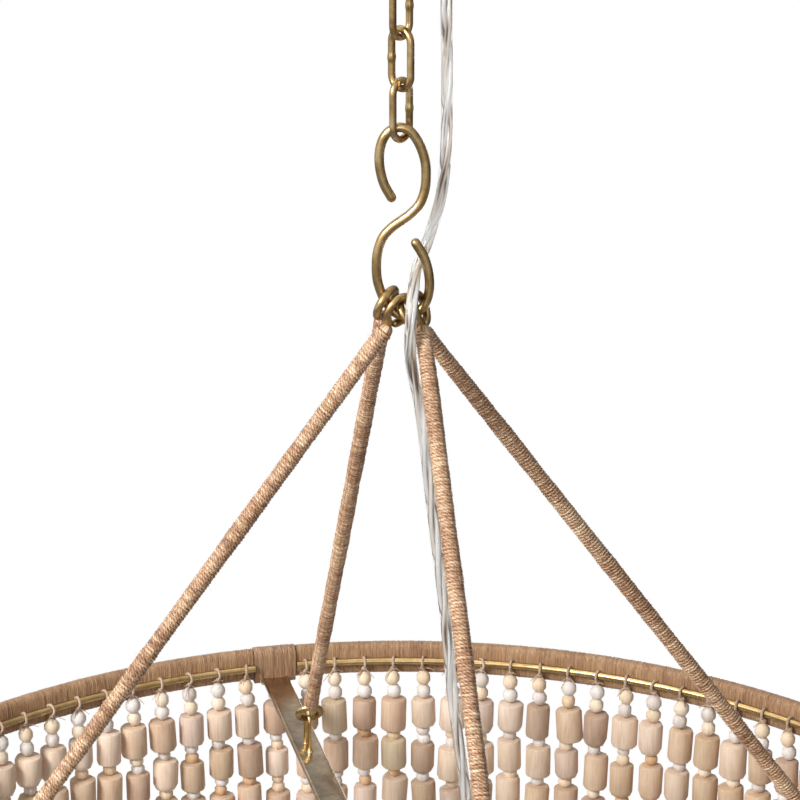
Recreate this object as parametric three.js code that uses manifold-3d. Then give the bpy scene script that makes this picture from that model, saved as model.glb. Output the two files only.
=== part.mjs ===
// Beaded drum chandelier on a chain, in millimetres, +Z up.
// The origin is on the ceiling, above the middle of the canopy.
import * as THREE from 'three';
import { mergeVertices } from 'three/addons/utils/BufferGeometryUtils.js';
import Module from 'manifold-3d';

const wasm = await Module();
wasm.setup();

// Clearances that all pieces share
const seatGap = 0.3;
const boreGap = 0.3;
const overrun = 2;
const mergeDistance = 0.001;

// Ceiling strap and threaded nipple
const strapLength = 105;
const strapWidth = 22;
const strapThickness = 2.5;
const strapSlotSpacing = 70;
const strapSlotLength = 14;
const strapSlotWidth = 5;
const nippleRadius = 5;
const nippleBoreRadius = 3.5;

// Canopy
const canopyRadius = 63.5;
const canopyDepth = 26;
const canopyRim = 4;
const canopyFlatRadius = 36;
const canopyWall = 1.6;

// Canopy loop and its collar
const collarRadius = 11;
const collarHeight = 12;
const collarFloor = 3;
const loopRadius = 12;
const loopWire = 5;
const loopSunk = 1.5;

// Chain
const linkCount = 5;
const linkLength = 35.3;
const linkWidth = 18;
const linkWire = 4;
const oddLinkTurn = THREE.MathUtils.degToRad(52);
const evenLinkTurn = -Math.PI / 4;

// S hook
const hookWire = 5.2;
// The hook's crown crosses the last link askew, so it sits up on the sides of the link's bend
const hookLift = 1.8;
const hookMiddle = { x: 0.9, z: 56 };
const upperLobe = { width: 12.3, height: 49.7 };
const lowerLobe = { width: 14.1, height: 53.2 };
// From the crossing in the middle to the tip, as shares of a lobe's width and height
const hookHalfShares = [
  [0, 0], [0.366, 0.07], [0.724, 0.171], [0.943, 0.322], [1, 0.503],
  [0.935, 0.658], [0.675, 0.835], [0.276, 0.966], [-0.114, 1], [-0.512, 0.97],
  [-0.813, 0.889], [-0.992, 0.746], [-0.992, 0.581], [-0.813, 0.392], [-0.488, 0.241],
];

// Suspension rods: a wire core with an eye at each end, in a wrap of twine
const rodWire = 4.6;
const upperEyeRadius = 8.4;
const lowerEyeRadius = 7.55;
const neckRadius = 4;
const eyeTurn = THREE.MathUtils.degToRad(310);
const rodWrapRadius = 4.5;
const rodWrapBore = 2.75;
const rodFootRadius = 270;
const rodFootDepth = 350;
const crossTurn = THREE.MathUtils.degToRad(13.2);
// Where each rod's upper eye hangs in the hook, as shares of the hook's lower lobe
const upperEyes = [
  { name: 'right', shares: [0.312, 0.163, 0.068], faces: -8 },
  { name: 'back', shares: [-0.567, 0.078, 0.184], faces: -39 },
  { name: 'left', shares: [-0.078, -0.05, 0.115], faces: -35 },
  { name: 'front', shares: [0.73, -0.184, 0.139], faces: -28 },
];

// Upper rim, its wrap and the cross in it
const rimRadius = 406.6;
const rimTopDepth = 357;
const rimWrapHeight = 23.4;
const rimWrapThickness = 10;
const rimCoreHeight = 17.4;
const rimCoreThickness = 4;
const rimCoreGap = 0.8;
const barWidth = 19;
const barThickness = 4;
const cuffWidth = 30;
const cuffHeight = 27;
const cuffThickness = 12.6;
const cuffRise = 0.8;
const cuffBulge = 1;
const cuffGap = 0.8;

// Upright eyes on the cross that hold the rods
const stapleWire = 3;
const stapleRadius = 7;
const stapleTail = 1.8;

// Bead strands between the brass rail and the lower ring
const railWire = 5;
const railGap = 0.6;
const railDrop = 12;
const strandsPerSection = 14;
const strandPitch = THREE.MathUtils.degToRad(3.1);
const strandLean = THREE.MathUtils.degToRad(2.2);
const roundBeadRadius = 5.5;
const roundBeadsMiddle = 16.5;
const barrelCount = 5;
const barrelsTop = 28;
const barrelPitch = 31;
const barrelBellyRadius = 11.5;
const barrelEndRadius = 8.8;
const strandTail = 8;
const lowerRingWire = 10;

// Lamp cluster on the middle of the cross
const stemRadius = 5;
const capRadius = 44;
const capHeight = 8;
const capBossRadius = 14;
const capBossHeight = 8;
const clusterRadius = 24;
const clusterHeight = 32;
const finialRadius = 12;
const finialHeight = 24;
const finialBoreDepth = 12;
const holderRadius = 17;
const holderLength = 46;
const holderBoreRadius = 13.6;
const holderFloor = 12;
const lampBaseRadius = 13;
const lampBaseLength = 34;
const lampRadius = 30;
const lampLength = 104;

// Flex with its bushing in the canopy and its gland on the lamp cap
const flexDiameter = 6.3;
const bushingFlangeRadius = 8;
const bushingFlange = 3;
const bushingNeckRadius = 5.4;
const bushingNeck = 6;
const glandRadius = 6.5;
const glandHeight = 20;
const flexTop = [24, 6];
const flexFoot = [32, -10];
// Heights are above the hub, where the rods' axes meet
const flexRoute = [
  [24, 6, 240], [24.3, 6, 205], [23.6, 6, 173], [24.2, 6, 131], [23.6, 6, 88],
  [21.4, 9.2, 67.1], [17.7, 11, 52.2], [13.3, 9.6, 38.8], [8.5, 3.3, 28.5], [6.5, -10.1, 19.7],
  [5.3, -17.3, 9.2], [4.9, -19.8, -5.1], [5.3, -19.7, -16.7], [10.3, -17, -44.6],
  [16.8, -12, -102], [23.8, -9, -161], [29.6, -8, -222], [36.5, -8, -275], [39, -8.5, -305],
  [35.4, -9.5, -328], [32, -10, -343],
];

// Facets
const wireSides = 6;
const hookSides = 7;
const flexSides = 8;
const turnedSides = 14;
const ringSides = 5;
const railSides = 4;
const canopySides = 22;
const smallSides = 10;
const rimSteps = 60;
const arcSteps = 14;
const lowerRingSteps = 48;
const beadSides = 4;

// Derived heights. The hub is the origin of the part below the chain.
const canopyFlat = -canopyDepth;
const loopMiddle = canopyFlat - seatGap - collarHeight - loopRadius + loopSunk;
const loopBottom = loopMiddle - loopRadius;
const linkPitch = linkLength - 2 * linkWire - seatGap;
const linkReach = (linkLength - linkWire) / 2;
const firstLink = loopBottom + (loopWire + linkWire) / 2 + seatGap - linkReach;
const lastLink = firstLink - (linkCount - 1) * linkPitch;
const hookTop = hookMiddle.z + upperLobe.height;
const hubHeight = lastLink - linkReach + (linkWire + hookWire) / 2 + hookLift - hookTop;
const rimMiddleRadius = rimRadius - rimWrapThickness / 2;
const rimMiddle = -rimTopDepth - rimWrapHeight / 2;
const railRadius = rimRadius - rimWrapThickness - railGap - railWire / 2;
const barTop = rimMiddle - rimCoreHeight / 2 - seatGap;
const barMiddle = barTop - barThickness / 2;
const barBottom = barTop - barThickness;
const barReach = rimMiddleRadius + rimCoreThickness / 2;
const railHeight = -rimTopDepth - railDrop;
const strandLength = barrelsTop + barrelCount * barrelPitch + strandTail;
const lowerRingRadius = railRadius - strandLength * Math.sin(strandLean);
const lowerRingHeight = railHeight - strandLength * Math.cos(strandLean) - lowerRingWire / 2;

const group = new THREE.Group();
const drum = new THREE.Group();
drum.position.z = hubHeight;
group.add(drum);

const finish = {
  antiqueBrass: new THREE.MeshStandardMaterial({ color: 0x9c7a45, metalness: 0.9, roughness: 0.4 }),
  polishedBrass: new THREE.MeshStandardMaterial({ color: 0xc2a878, metalness: 0.9, roughness: 0.25 }),
  steel: new THREE.MeshStandardMaterial({ color: 0x8f9194, metalness: 0.9, roughness: 0.45 }),
  twine: new THREE.MeshStandardMaterial({ color: 0xb08a68, metalness: 0, roughness: 0.85 }),
  beads: new THREE.MeshStandardMaterial({ color: 0xcdb08c, metalness: 0, roughness: 0.6 }),
  flex: new THREE.MeshStandardMaterial({ color: 0xd9d7d4, metalness: 0, roughness: 0.2 }),
  holder: new THREE.MeshStandardMaterial({ color: 0xe8e2d6, metalness: 0, roughness: 0.5 }),
  lamp: new THREE.MeshStandardMaterial({ color: 0xfff4dc, metalness: 0, roughness: 0.15 }),
};

// A route that is followed from point to point, with one step a stretch
class Route extends THREE.Curve {
  constructor(points) {
    super();
    this.points = points;
  }

  getUtoTmapping(share) {
    return share;
  }

  getPoint(share, target = new THREE.Vector3()) {
    const place = share * (this.points.length - 1);
    const index = Math.min(Math.floor(place), this.points.length - 2);
    return target.lerpVectors(this.points[index], this.points[index + 1], place - index);
  }
}

// The closed surface of a geometry, with shared corners, without flat slivers, facing outwards
function surface(geometry) {
  const bare = new THREE.BufferGeometry();
  bare.setAttribute('position', geometry.attributes.position);
  bare.setIndex(geometry.index);
  const merged = mergeVertices(bare, mergeDistance);
  const corners = merged.index.array;
  const kept = [];
  let volume = 0;
  const a = new THREE.Vector3();
  const b = new THREE.Vector3();
  const c = new THREE.Vector3();
  for (let i = 0; i < corners.length; i += 3) {
    const [p, q, r] = [corners[i], corners[i + 1], corners[i + 2]];
    if (p === q || q === r || r === p) continue;
    kept.push(p, q, r);
    a.fromBufferAttribute(merged.attributes.position, p);
    b.fromBufferAttribute(merged.attributes.position, q);
    c.fromBufferAttribute(merged.attributes.position, r);
    volume += a.dot(b.cross(c));
  }
  if (volume < 0) kept.reverse();
  merged.setIndex(kept);
  return merged;
}

function toManifold(geometry) {
  const clean = surface(geometry);
  const vertProperties = new Float32Array(clean.attributes.position.array);
  const triVerts = new Uint32Array(clean.index.array);
  return new wasm.Manifold(new wasm.Mesh({ numProp: 3, vertProperties, triVerts }));
}

function fromManifold(body) {
  const mesh = body.getMesh();
  const geometry = new THREE.BufferGeometry();
  geometry.setAttribute('position', new THREE.BufferAttribute(new Float32Array(mesh.vertProperties), 3));
  geometry.setIndex(new THREE.BufferAttribute(new Uint32Array(mesh.triVerts), 1));
  return geometry;
}

function joined(first, ...others) {
  const start = toManifold(first);
  return fromManifold(others.reduce((body, other) => body.add(toManifold(other)), start));
}

function cut(first, ...others) {
  const start = toManifold(first);
  return fromManifold(others.reduce((body, other) => body.subtract(toManifold(other)), start));
}

function add(parent, name, geometry, material) {
  const mesh = new THREE.Mesh(surface(geometry), material);
  mesh.name = name;
  parent.add(mesh);
  return mesh;
}

// Points round a circle, from one angle to another, both included
function arc(radius, from, to, steps) {
  const points = [];
  for (let i = 0; i <= steps; i += 1) {
    const angle = from + ((to - from) * i) / steps;
    points.push([radius * Math.cos(angle), radius * Math.sin(angle)]);
  }
  return points;
}

function roundSection(radius, sides) {
  return new THREE.Shape(arc(radius, 0, 2 * Math.PI, sides).slice(0, -1).map(([x, y]) => new THREE.Vector2(x, y)));
}

function tube(points, radius, sides) {
  return new THREE.ExtrudeGeometry(roundSection(radius, sides), {
    steps: points.length - 1,
    extrudePath: new Route(points),
    bevelEnabled: false,
  });
}

// A ring of wire through points that end where they start
function closedTube(points, radius, sides) {
  return new THREE.TubeGeometry(new Route(points), points.length - 1, radius, sides, true);
}

// A turned piece about the Z axis, from [radius, height] pairs
function turned(profile, sides) {
  const outline = profile.map(([radius, height]) => new THREE.Vector2(radius, height));
  return new THREE.LatheGeometry(outline, sides).rotateX(Math.PI / 2);
}

// The same with a bore, so that the profile closes on itself
function turnedRing(profile, sides) {
  return turned([...profile, profile[0]], sides);
}

function plainTube(outer, inner, low, high, sides) {
  return turnedRing([[outer, low], [outer, high], [inner, high], [inner, low]], sides);
}

function ringPoints(radius, height, from, to, steps) {
  return arc(radius, from, to, steps).map(([x, y]) => new THREE.Vector3(x, y, height));
}

// A box section with cut corners, swept round part of the rim. Its first measure is the height.
function rimSection(height, thickness, corner) {
  const [h, t] = [height / 2, thickness / 2];
  return new THREE.Shape([
    [-h + corner, -t], [h - corner, -t], [h, -t + corner], [h, t - corner],
    [h - corner, t], [-h + corner, t], [-h, t - corner], [-h, -t + corner],
  ].map(([x, y]) => new THREE.Vector2(x, y)));
}

function sweptRound(section, radius, height, from, to, steps) {
  const route = new Route(ringPoints(radius, height, from, to, steps));
  return new THREE.ExtrudeGeometry(section, { steps, extrudePath: route, bevelEnabled: false });
}

// Ceiling fitting

function mountingStrap() {
  const [x, y] = [strapLength / 2, strapWidth / 2];
  const shape = new THREE.Shape([[-x, -y], [x, -y], [x, y], [-x, y]].map((p) => new THREE.Vector2(...p)));
  shape.holes.push(new THREE.Path(roundSection(nippleRadius + boreGap, smallSides).getPoints()));
  for (const side of [-1, 1]) {
    const middle = (side * strapSlotSpacing) / 2;
    const [sx, sy] = [strapSlotLength / 2, strapSlotWidth / 2];
    const corners = [[-sx, -sy], [sx, -sy], [sx, sy], [-sx, sy]];
    shape.holes.push(new THREE.Path(corners.map(([u, v]) => new THREE.Vector2(middle + u, v))));
  }
  return new THREE.ExtrudeGeometry(shape, { depth: strapThickness, bevelEnabled: false })
    .translate(0, 0, -strapThickness);
}

function canopyShell() {
  const shoulder = canopyDepth - canopyRim;
  const spread = canopyRadius - canopyFlatRadius;
  const steps = 4;
  const curve = (inset) => arc(1, 0, Math.PI / 2, steps).map(([x, y]) => [
    canopyFlatRadius + (spread - inset) * x,
    -canopyRim - (shoulder - inset) * y,
  ]);
  const bore = nippleRadius + boreGap;
  const profile = [
    [canopyRadius, 0], ...curve(0), [bore, canopyFlat],
    [bore, canopyFlat + canopyWall], ...curve(canopyWall).reverse(), [canopyRadius - canopyWall, 0],
  ];
  const hole = new THREE.CylinderGeometry(bushingNeckRadius + boreGap, bushingNeckRadius + boreGap,
    canopyWall + 2 * overrun, smallSides).rotateX(Math.PI / 2)
    .translate(flexTop[0], flexTop[1], canopyFlat + canopyWall / 2);
  return cut(turnedRing(profile, canopySides), hole);
}

function canopyLoop() {
  const top = canopyFlat - seatGap;
  const bore = nippleRadius + boreGap;
  const floor = top - collarHeight;
  const collar = turned([
    [0, floor], [collarRadius * 0.8, floor], [collarRadius, floor + collarHeight * 0.25], [collarRadius, top],
    [bore, top], [bore, floor + collarFloor], [0, floor + collarFloor],
  ], turnedSides);
  const ring = new THREE.TorusGeometry(loopRadius, loopWire / 2, wireSides, turnedSides)
    .rotateX(Math.PI / 2).rotateZ(evenLinkTurn).translate(0, 0, loopMiddle);
  return joined(collar, ring);
}

function flexBushing() {
  const seat = canopyFlat - seatGap;
  return turned([
    [0, seat - bushingFlange], [bushingFlangeRadius * 0.8, seat - bushingFlange], [bushingFlangeRadius, seat],
    [bushingNeckRadius, seat], [bushingNeckRadius, seat + bushingNeck], [0, seat + bushingNeck],
  ], smallSides).translate(flexTop[0], flexTop[1], 0);
}

const nippleFoot = loopMiddle + loopRadius + loopWire / 2 + seatGap;
add(group, 'mounting_strap', mountingStrap(), finish.steel);
add(group, 'threaded_nipple', plainTube(nippleRadius, nippleBoreRadius, nippleFoot, -seatGap, smallSides),
  finish.steel);
add(group, 'canopy', canopyShell(), finish.antiqueBrass);
add(group, 'canopy_loop', canopyLoop(), finish.antiqueBrass);
add(group, 'flex_bushing', flexBushing(), finish.holder);

// Chain

function linkPoints() {
  const bend = (linkWidth - linkWire) / 2;
  const straight = linkReach - bend;
  const steps = 6;
  const top = arc(bend, 0, Math.PI, steps).map(([x, z]) => new THREE.Vector3(x, 0, straight + z));
  const bottom = arc(bend, Math.PI, 2 * Math.PI, steps).map(([x, z]) => new THREE.Vector3(x, 0, z - straight));
  const start = new THREE.Vector3(bend, 0, 0);
  return [start, ...top, new THREE.Vector3(-bend, 0, 0), ...bottom, start.clone()];
}

for (let i = 0; i < linkCount; i += 1) {
  const link = add(group, `chain_link_${i + 1}`, closedTube(linkPoints(), linkWire / 2, wireSides),
    finish.antiqueBrass);
  link.position.z = firstLink - i * linkPitch;
  link.rotation.z = i % 2 === 0 ? oddLinkTurn : evenLinkTurn;
}

// S hook

function hookPoints() {
  const place = (lobe, sign) => ([x, z]) => new THREE.Vector3(
    hookMiddle.x + sign * x * lobe.width, 0, hookMiddle.z + sign * z * lobe.height);
  const upper = hookHalfShares.map(place(upperLobe, 1));
  const lower = hookHalfShares.map(place(lowerLobe, -1));
  const curve = new THREE.CatmullRomCurve3([...upper.reverse(), ...lower.slice(1)], false, 'centripetal');
  const steps = 44;
  return curve.getSpacedPoints(steps);
}

add(drum, 's_hook', tube(hookPoints(), hookWire / 2, hookSides), finish.antiqueBrass);

// Suspension rods

// An eye bent at the end of a rod: in along the axis, a short neck, then round the eye
function eyePoints(middle, axis, side, radius) {
  const drop = Math.sqrt(radius * radius + 2 * radius * neckRadius);
  const meeting = Math.atan2(-drop, neckRadius);
  const neckSteps = 3;
  const eyeSteps = 10;
  const place = (s, a) => middle.clone().addScaledVector(side, s).addScaledVector(axis, a);
  const neck = arc(neckRadius, Math.PI, meeting + Math.PI, neckSteps)
    .map(([s, a]) => place(neckRadius + s, a - drop));
  const eye = arc(radius, meeting, meeting + eyeTurn, eyeSteps).slice(1).map(([s, a]) => place(s, a));
  return [...neck, ...eye];
}

function rodPlaces(rod, index) {
  const angle = crossTurn + (index * Math.PI) / 2;
  const [x, y, z] = rod.shares;
  const head = new THREE.Vector3(x * lowerLobe.width, y * lowerLobe.width, z * lowerLobe.height);
  const foot = new THREE.Vector3(rodFootRadius, 0, -rodFootDepth)
    .applyAxisAngle(new THREE.Vector3(0, 0, 1), angle);
  const up = head.clone().sub(foot).normalize();
  const faces = THREE.MathUtils.degToRad(rod.faces);
  const normal = new THREE.Vector3(Math.cos(faces), Math.sin(faces), 0);
  normal.addScaledVector(up, -normal.dot(up)).normalize();
  const headSide = normal.clone().cross(up).normalize();
  const footSide = new THREE.Vector3(-Math.sin(angle), Math.cos(angle), 0);
  return { head, foot, up, headSide, footSide, angle };
}

function eyeDrop(radius) {
  return Math.sqrt(radius * radius + 2 * radius * neckRadius);
}

function rodCore(places) {
  const down = places.up.clone().negate();
  const lower = eyePoints(places.foot, down, places.footSide, lowerEyeRadius).reverse();
  const upper = eyePoints(places.head, places.up, places.headSide, upperEyeRadius);
  return tube([...lower, ...upper], rodWire / 2, wireSides);
}

function rodWrap(places) {
  const low = places.foot.clone().addScaledVector(places.up, eyeDrop(lowerEyeRadius) + seatGap);
  const high = places.head.clone().addScaledVector(places.up, -eyeDrop(upperEyeRadius) - seatGap);
  const turn = new THREE.Quaternion().setFromUnitVectors(new THREE.Vector3(0, 0, 1), places.up);
  return plainTube(rodWrapRadius, rodWrapBore, 0, low.distanceTo(high), smallSides)
    .applyQuaternion(turn).translate(low.x, low.y, low.z);
}

// The upright eye's arch is entered by the rod's lower eye, which pulls up on its shoulder
function barStaple(places) {
  const pull = lowerEyeRadius - (rodWire + stapleWire) / 2 - seatGap;
  const flat = new THREE.Vector3(Math.cos(places.angle), Math.sin(places.angle), 0);
  const slope = Math.atan2(rodFootDepth, rodFootRadius);
  const reach = pull + stapleRadius;
  const middle = new THREE.Vector2(
    rodFootRadius + reach * Math.cos(slope), -rodFootDepth - reach * Math.sin(slope));
  const end = barBottom - stapleTail;
  const archSteps = 6;
  const outline = [
    [stapleRadius, end - middle.y], ...arc(stapleRadius, 0, Math.PI, archSteps), [-stapleRadius, end - middle.y],
  ];
  const points = outline.map(([u, v]) => flat.clone().multiplyScalar(middle.x + u)
    .setZ(middle.y + v));
  return { geometry: tube(points, stapleWire / 2, wireSides), middle: middle.x };
}

const rods = upperEyes.map(rodPlaces);
rods.forEach((places, i) => {
  const { name } = upperEyes[i];
  add(drum, `rod_core_${name}`, rodCore(places), finish.antiqueBrass);
  add(drum, `rod_wrap_${name}`, rodWrap(places), finish.twine);
  add(drum, `bar_staple_${name}`, barStaple(places).geometry, finish.antiqueBrass);
});

// Cross bars, halved into each other in the middle

function crossBar(angle, lapSign) {
  const [x, y] = [barReach, barWidth / 2];
  const shape = new THREE.Shape([[-x, -y], [x, -y], [x, y], [-x, y]].map((p) => new THREE.Vector2(...p)));
  const hole = (middle, radius, sides) => new THREE.Path(
    arc(radius, 0, 2 * Math.PI, sides).slice(0, -1).map(([u, v]) => new THREE.Vector2(middle + u, v)));
  shape.holes.push(hole(0, stemRadius + boreGap, smallSides));
  const staple = barStaple(rods[0]).middle;
  for (const leg of [staple - stapleRadius, staple + stapleRadius]) {
    shape.holes.push(hole(leg, stapleWire / 2 + 2 * boreGap, wireSides));
    shape.holes.push(hole(-leg, stapleWire / 2 + 2 * boreGap, wireSides));
  }
  const bar = new THREE.ExtrudeGeometry(shape, { depth: barThickness, bevelEnabled: false })
    .translate(0, 0, barBottom);
  const lapLength = barWidth + 2 * boreGap;
  const lapHeight = barThickness / 2 + seatGap / 2;
  const lap = new THREE.BoxGeometry(lapLength, barWidth + 2 * overrun, lapHeight + overrun)
    .translate(0, 0, barMiddle + lapSign * ((lapHeight + overrun) / 2 - seatGap / 2));
  return cut(bar, lap).rotateZ(angle);
}

add(drum, 'cross_bar_side', crossBar(crossTurn, -1), finish.polishedBrass);
add(drum, 'cross_bar_depth', crossBar(crossTurn + Math.PI / 2, 1), finish.polishedBrass);

// Upper rim

function rimCore() {
  const [inner, outer] = [rimMiddleRadius - rimCoreThickness / 2, rimMiddleRadius + rimCoreThickness / 2];
  const [low, high] = [rimMiddle - rimCoreHeight / 2, rimMiddle + rimCoreHeight / 2];
  return plainTube(outer, inner, low, high, rimSteps);
}

const cuffCover = Math.asin((cuffWidth / 2 + cuffGap) / rimMiddleRadius);
const coreSlot = [rimCoreHeight + 2 * rimCoreGap, rimCoreThickness + 2 * rimCoreGap];

function rimWrap(from) {
  const section = rimSection(rimWrapHeight, rimWrapThickness, rimWrapThickness * 0.3);
  const [h, t] = coreSlot.map((size) => size / 2);
  section.holes.push(new THREE.Path([[-h, -t], [h, -t], [h, t], [-h, t]].map((p) => new THREE.Vector2(...p))));
  return sweptRound(section, rimMiddleRadius, rimMiddle, from + cuffCover, from + Math.PI / 2 - cuffCover, arcSteps);
}

function rimCuff(angle) {
  const half = Math.asin(cuffWidth / 2 / rimMiddleRadius);
  const steps = 2;
  const middleRadius = rimRadius + cuffBulge - cuffThickness / 2;
  const middle = -rimTopDepth + cuffRise - cuffHeight / 2;
  const block = sweptRound(rimSection(cuffHeight, cuffThickness, cuffThickness * 0.25),
    middleRadius, middle, angle - half, angle + half, steps);
  const slot = sweptRound(rimSection(coreSlot[0], coreSlot[1], coreSlot[1] * 0.1),
    rimMiddleRadius, rimMiddle, angle - 2 * half, angle + 2 * half, 2 * steps);
  const barSlot = new THREE.BoxGeometry(cuffThickness, barWidth + 2 * boreGap, barThickness + 2 * boreGap)
    .translate(barReach + boreGap - cuffThickness / 2, 0, barMiddle).rotateZ(angle);
  return cut(block, slot, barSlot);
}

add(drum, 'rim_core', rimCore(), finish.steel);
rods.forEach(({ angle }, i) => {
  add(drum, `rim_wrap_${i + 1}`, rimWrap(angle), finish.twine);
  add(drum, `rim_cuff_${upperEyes[i].name}`, rimCuff(angle), finish.twine);
});

// Bead strands. Twine runs in a loop over the rail, through two round beads and the barrels.

function strand() {
  const barrel = (i) => {
    const top = -barrelsTop - i * barrelPitch;
    return [[barrelBellyRadius, top - barrelPitch / 2], [barrelEndRadius, top - barrelPitch]];
  };
  const barrels = Array.from({ length: barrelCount }, (unused, i) => barrel(i)).flat();
  return turned([
    [0, 0], [roundBeadRadius, -roundBeadsMiddle], ...barrels, [0, seatGap - strandLength],
  ], beadSides).rotateZ(Math.PI / beadSides);
}

function strandSection(middleAngle, from, to) {
  const rail = tube(ringPoints(railRadius, railHeight, from, to, arcSteps / 2), railWire / 2, railSides);
  const column = strand();
  const strands = Array.from({ length: strandsPerSection }, (unused, i) => {
    const angle = middleAngle + (i - (strandsPerSection - 1) / 2) * strandPitch;
    return column.clone().rotateY(strandLean).translate(railRadius, 0, railHeight).rotateZ(angle);
  });
  return joined(rail, ...strands);
}

const railCover = Math.asin((cuffWidth / 2 + seatGap) / railRadius);
const railBreak = seatGap / 2 / railRadius;
const sectionOffset = (strandsPerSection * strandPitch) / 2;
rods.forEach(({ angle }, i) => {
  const middle = angle + Math.PI / 4;
  const first = strandSection(middle - sectionOffset, angle + railCover, middle - railBreak);
  const second = strandSection(middle + sectionOffset, middle + railBreak, angle + Math.PI / 2 - railCover);
  add(drum, `bead_strands_${2 * i + 1}`, first, finish.beads);
  add(drum, `bead_strands_${2 * i + 2}`, second, finish.beads);
});

add(drum, 'lower_ring', new THREE.TorusGeometry(lowerRingRadius, lowerRingWire / 2, ringSides, lowerRingSteps)
  .translate(0, 0, lowerRingHeight), finish.twine);

// Lamp cluster

const capSeat = barTop + seatGap;
const clusterTop = barBottom - seatGap;
const finialTop = clusterTop - clusterHeight - seatGap;
const stemTop = capSeat + capHeight + capBossHeight;
const stemFoot = finialTop - finialBoreDepth + seatGap;
const holderHeight = clusterTop - clusterHeight / 2;

function lampCap() {
  const bore = stemRadius + boreGap;
  const [edge, flat, top] = [capSeat + capHeight * 0.3, capSeat + capHeight, stemTop];
  return turnedRing([
    [bore, capSeat], [capRadius, capSeat], [capRadius, edge], [capRadius * 0.95, flat],
    [capBossRadius, flat], [capBossRadius * 0.85, top], [bore, top],
  ], turnedSides);
}

function lampCluster() {
  const bore = stemRadius + boreGap;
  const low = clusterTop - clusterHeight;
  return turnedRing([
    [bore, low], [clusterRadius * 0.8, low], [clusterRadius, low + clusterHeight * 0.15],
    [clusterRadius, clusterTop - clusterHeight * 0.15], [clusterRadius * 0.8, clusterTop], [bore, clusterTop],
  ], turnedSides);
}

function finialNut() {
  const bore = stemRadius + boreGap;
  const low = finialTop - finialHeight;
  return turned([
    [0, low], [finialRadius * 0.35, low], [finialRadius * 0.5, low + finialHeight * 0.3],
    [finialRadius, finialTop - finialHeight * 0.2], [finialRadius, finialTop],
    [bore, finialTop], [bore, finialTop - finialBoreDepth], [0, finialTop - finialBoreDepth],
  ], smallSides + 4);
}

// Turned about X, so that it points away from the stem
function outward(profile, sides, angle) {
  return turned(profile, sides).rotateY(Math.PI / 2).rotateZ(angle).translate(0, 0, holderHeight);
}

function lampHolder(angle) {
  const start = clusterRadius + seatGap;
  const mouth = start + holderLength;
  return outward([
    [0, start], [holderRadius * 0.6, start], [holderRadius, start + holderFloor], [holderRadius, mouth],
    [holderBoreRadius, mouth], [holderBoreRadius, start + holderFloor], [0, start + holderFloor],
  ], smallSides + 2, angle);
}

function lampBulb(angle) {
  const start = clusterRadius + seatGap + holderFloor + seatGap;
  const neck = start + lampBaseLength;
  const middle = start + lampLength - lampRadius;
  const globe = arc(lampRadius, -Math.PI / 5, Math.PI / 2, 5).map(([r, h]) => [r, middle + h]);
  return outward([
    [0, start], [lampBaseRadius * 0.6, start], [lampBaseRadius, start + lampBaseRadius * 0.3],
    [lampBaseRadius, neck], ...globe.slice(0, -1), [0, start + lampLength],
  ], smallSides + 2, angle);
}

add(drum, 'lamp_cap', lampCap(), finish.antiqueBrass);
add(drum, 'lamp_stem', plainTube(stemRadius, nippleBoreRadius, stemFoot, stemTop, smallSides), finish.steel);
add(drum, 'lamp_cluster', lampCluster(), finish.antiqueBrass);
add(drum, 'finial_nut', finialNut(), finish.antiqueBrass);
rods.forEach(({ angle }, i) => {
  const between = angle + Math.PI / 4;
  add(drum, `lamp_holder_${i + 1}`, lampHolder(between), finish.holder);
  add(drum, `bulb_${i + 1}`, lampBulb(between), finish.lamp);
});

// Flex from the canopy bushing, beside the chain and through the hook, to the gland

const glandFoot = capSeat + capHeight + seatGap;
const glandTop = glandFoot + glandHeight;

function flexGland() {
  return turned([
    [0, glandFoot], [glandRadius, glandFoot], [glandRadius, glandTop - glandHeight * 0.4],
    [glandRadius * 0.7, glandTop], [0, glandTop],
  ], smallSides).translate(flexFoot[0], flexFoot[1], 0);
}

function flexPoints() {
  const top = canopyFlat - seatGap - bushingFlange - seatGap - hubHeight;
  const start = new THREE.Vector3(flexTop[0], flexTop[1], top);
  const end = new THREE.Vector3(flexFoot[0], flexFoot[1], glandTop + seatGap);
  const between = flexRoute.map((point) => new THREE.Vector3(...point));
  const points = [start, ...between, end];
  return new THREE.CatmullRomCurve3(points, false, 'centripetal').getPoints(2 * (points.length - 1));
}

add(drum, 'flex_gland', flexGland(), finish.antiqueBrass);
add(drum, 'flex', tube(flexPoints(), flexDiameter / 2, flexSides), finish.flex);

export default group;
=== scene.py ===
# %% [markdown]
# # A beaded drum chandelier
# The light hangs from a brass chain. Four rods, wound with twine, carry a round rim that is
# wound too. Strands of turned wood beads hang from a brass rail inside the rim. Each piece is
# a surface worked out with numpy, in the same place as its solid in the CAD model.

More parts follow.
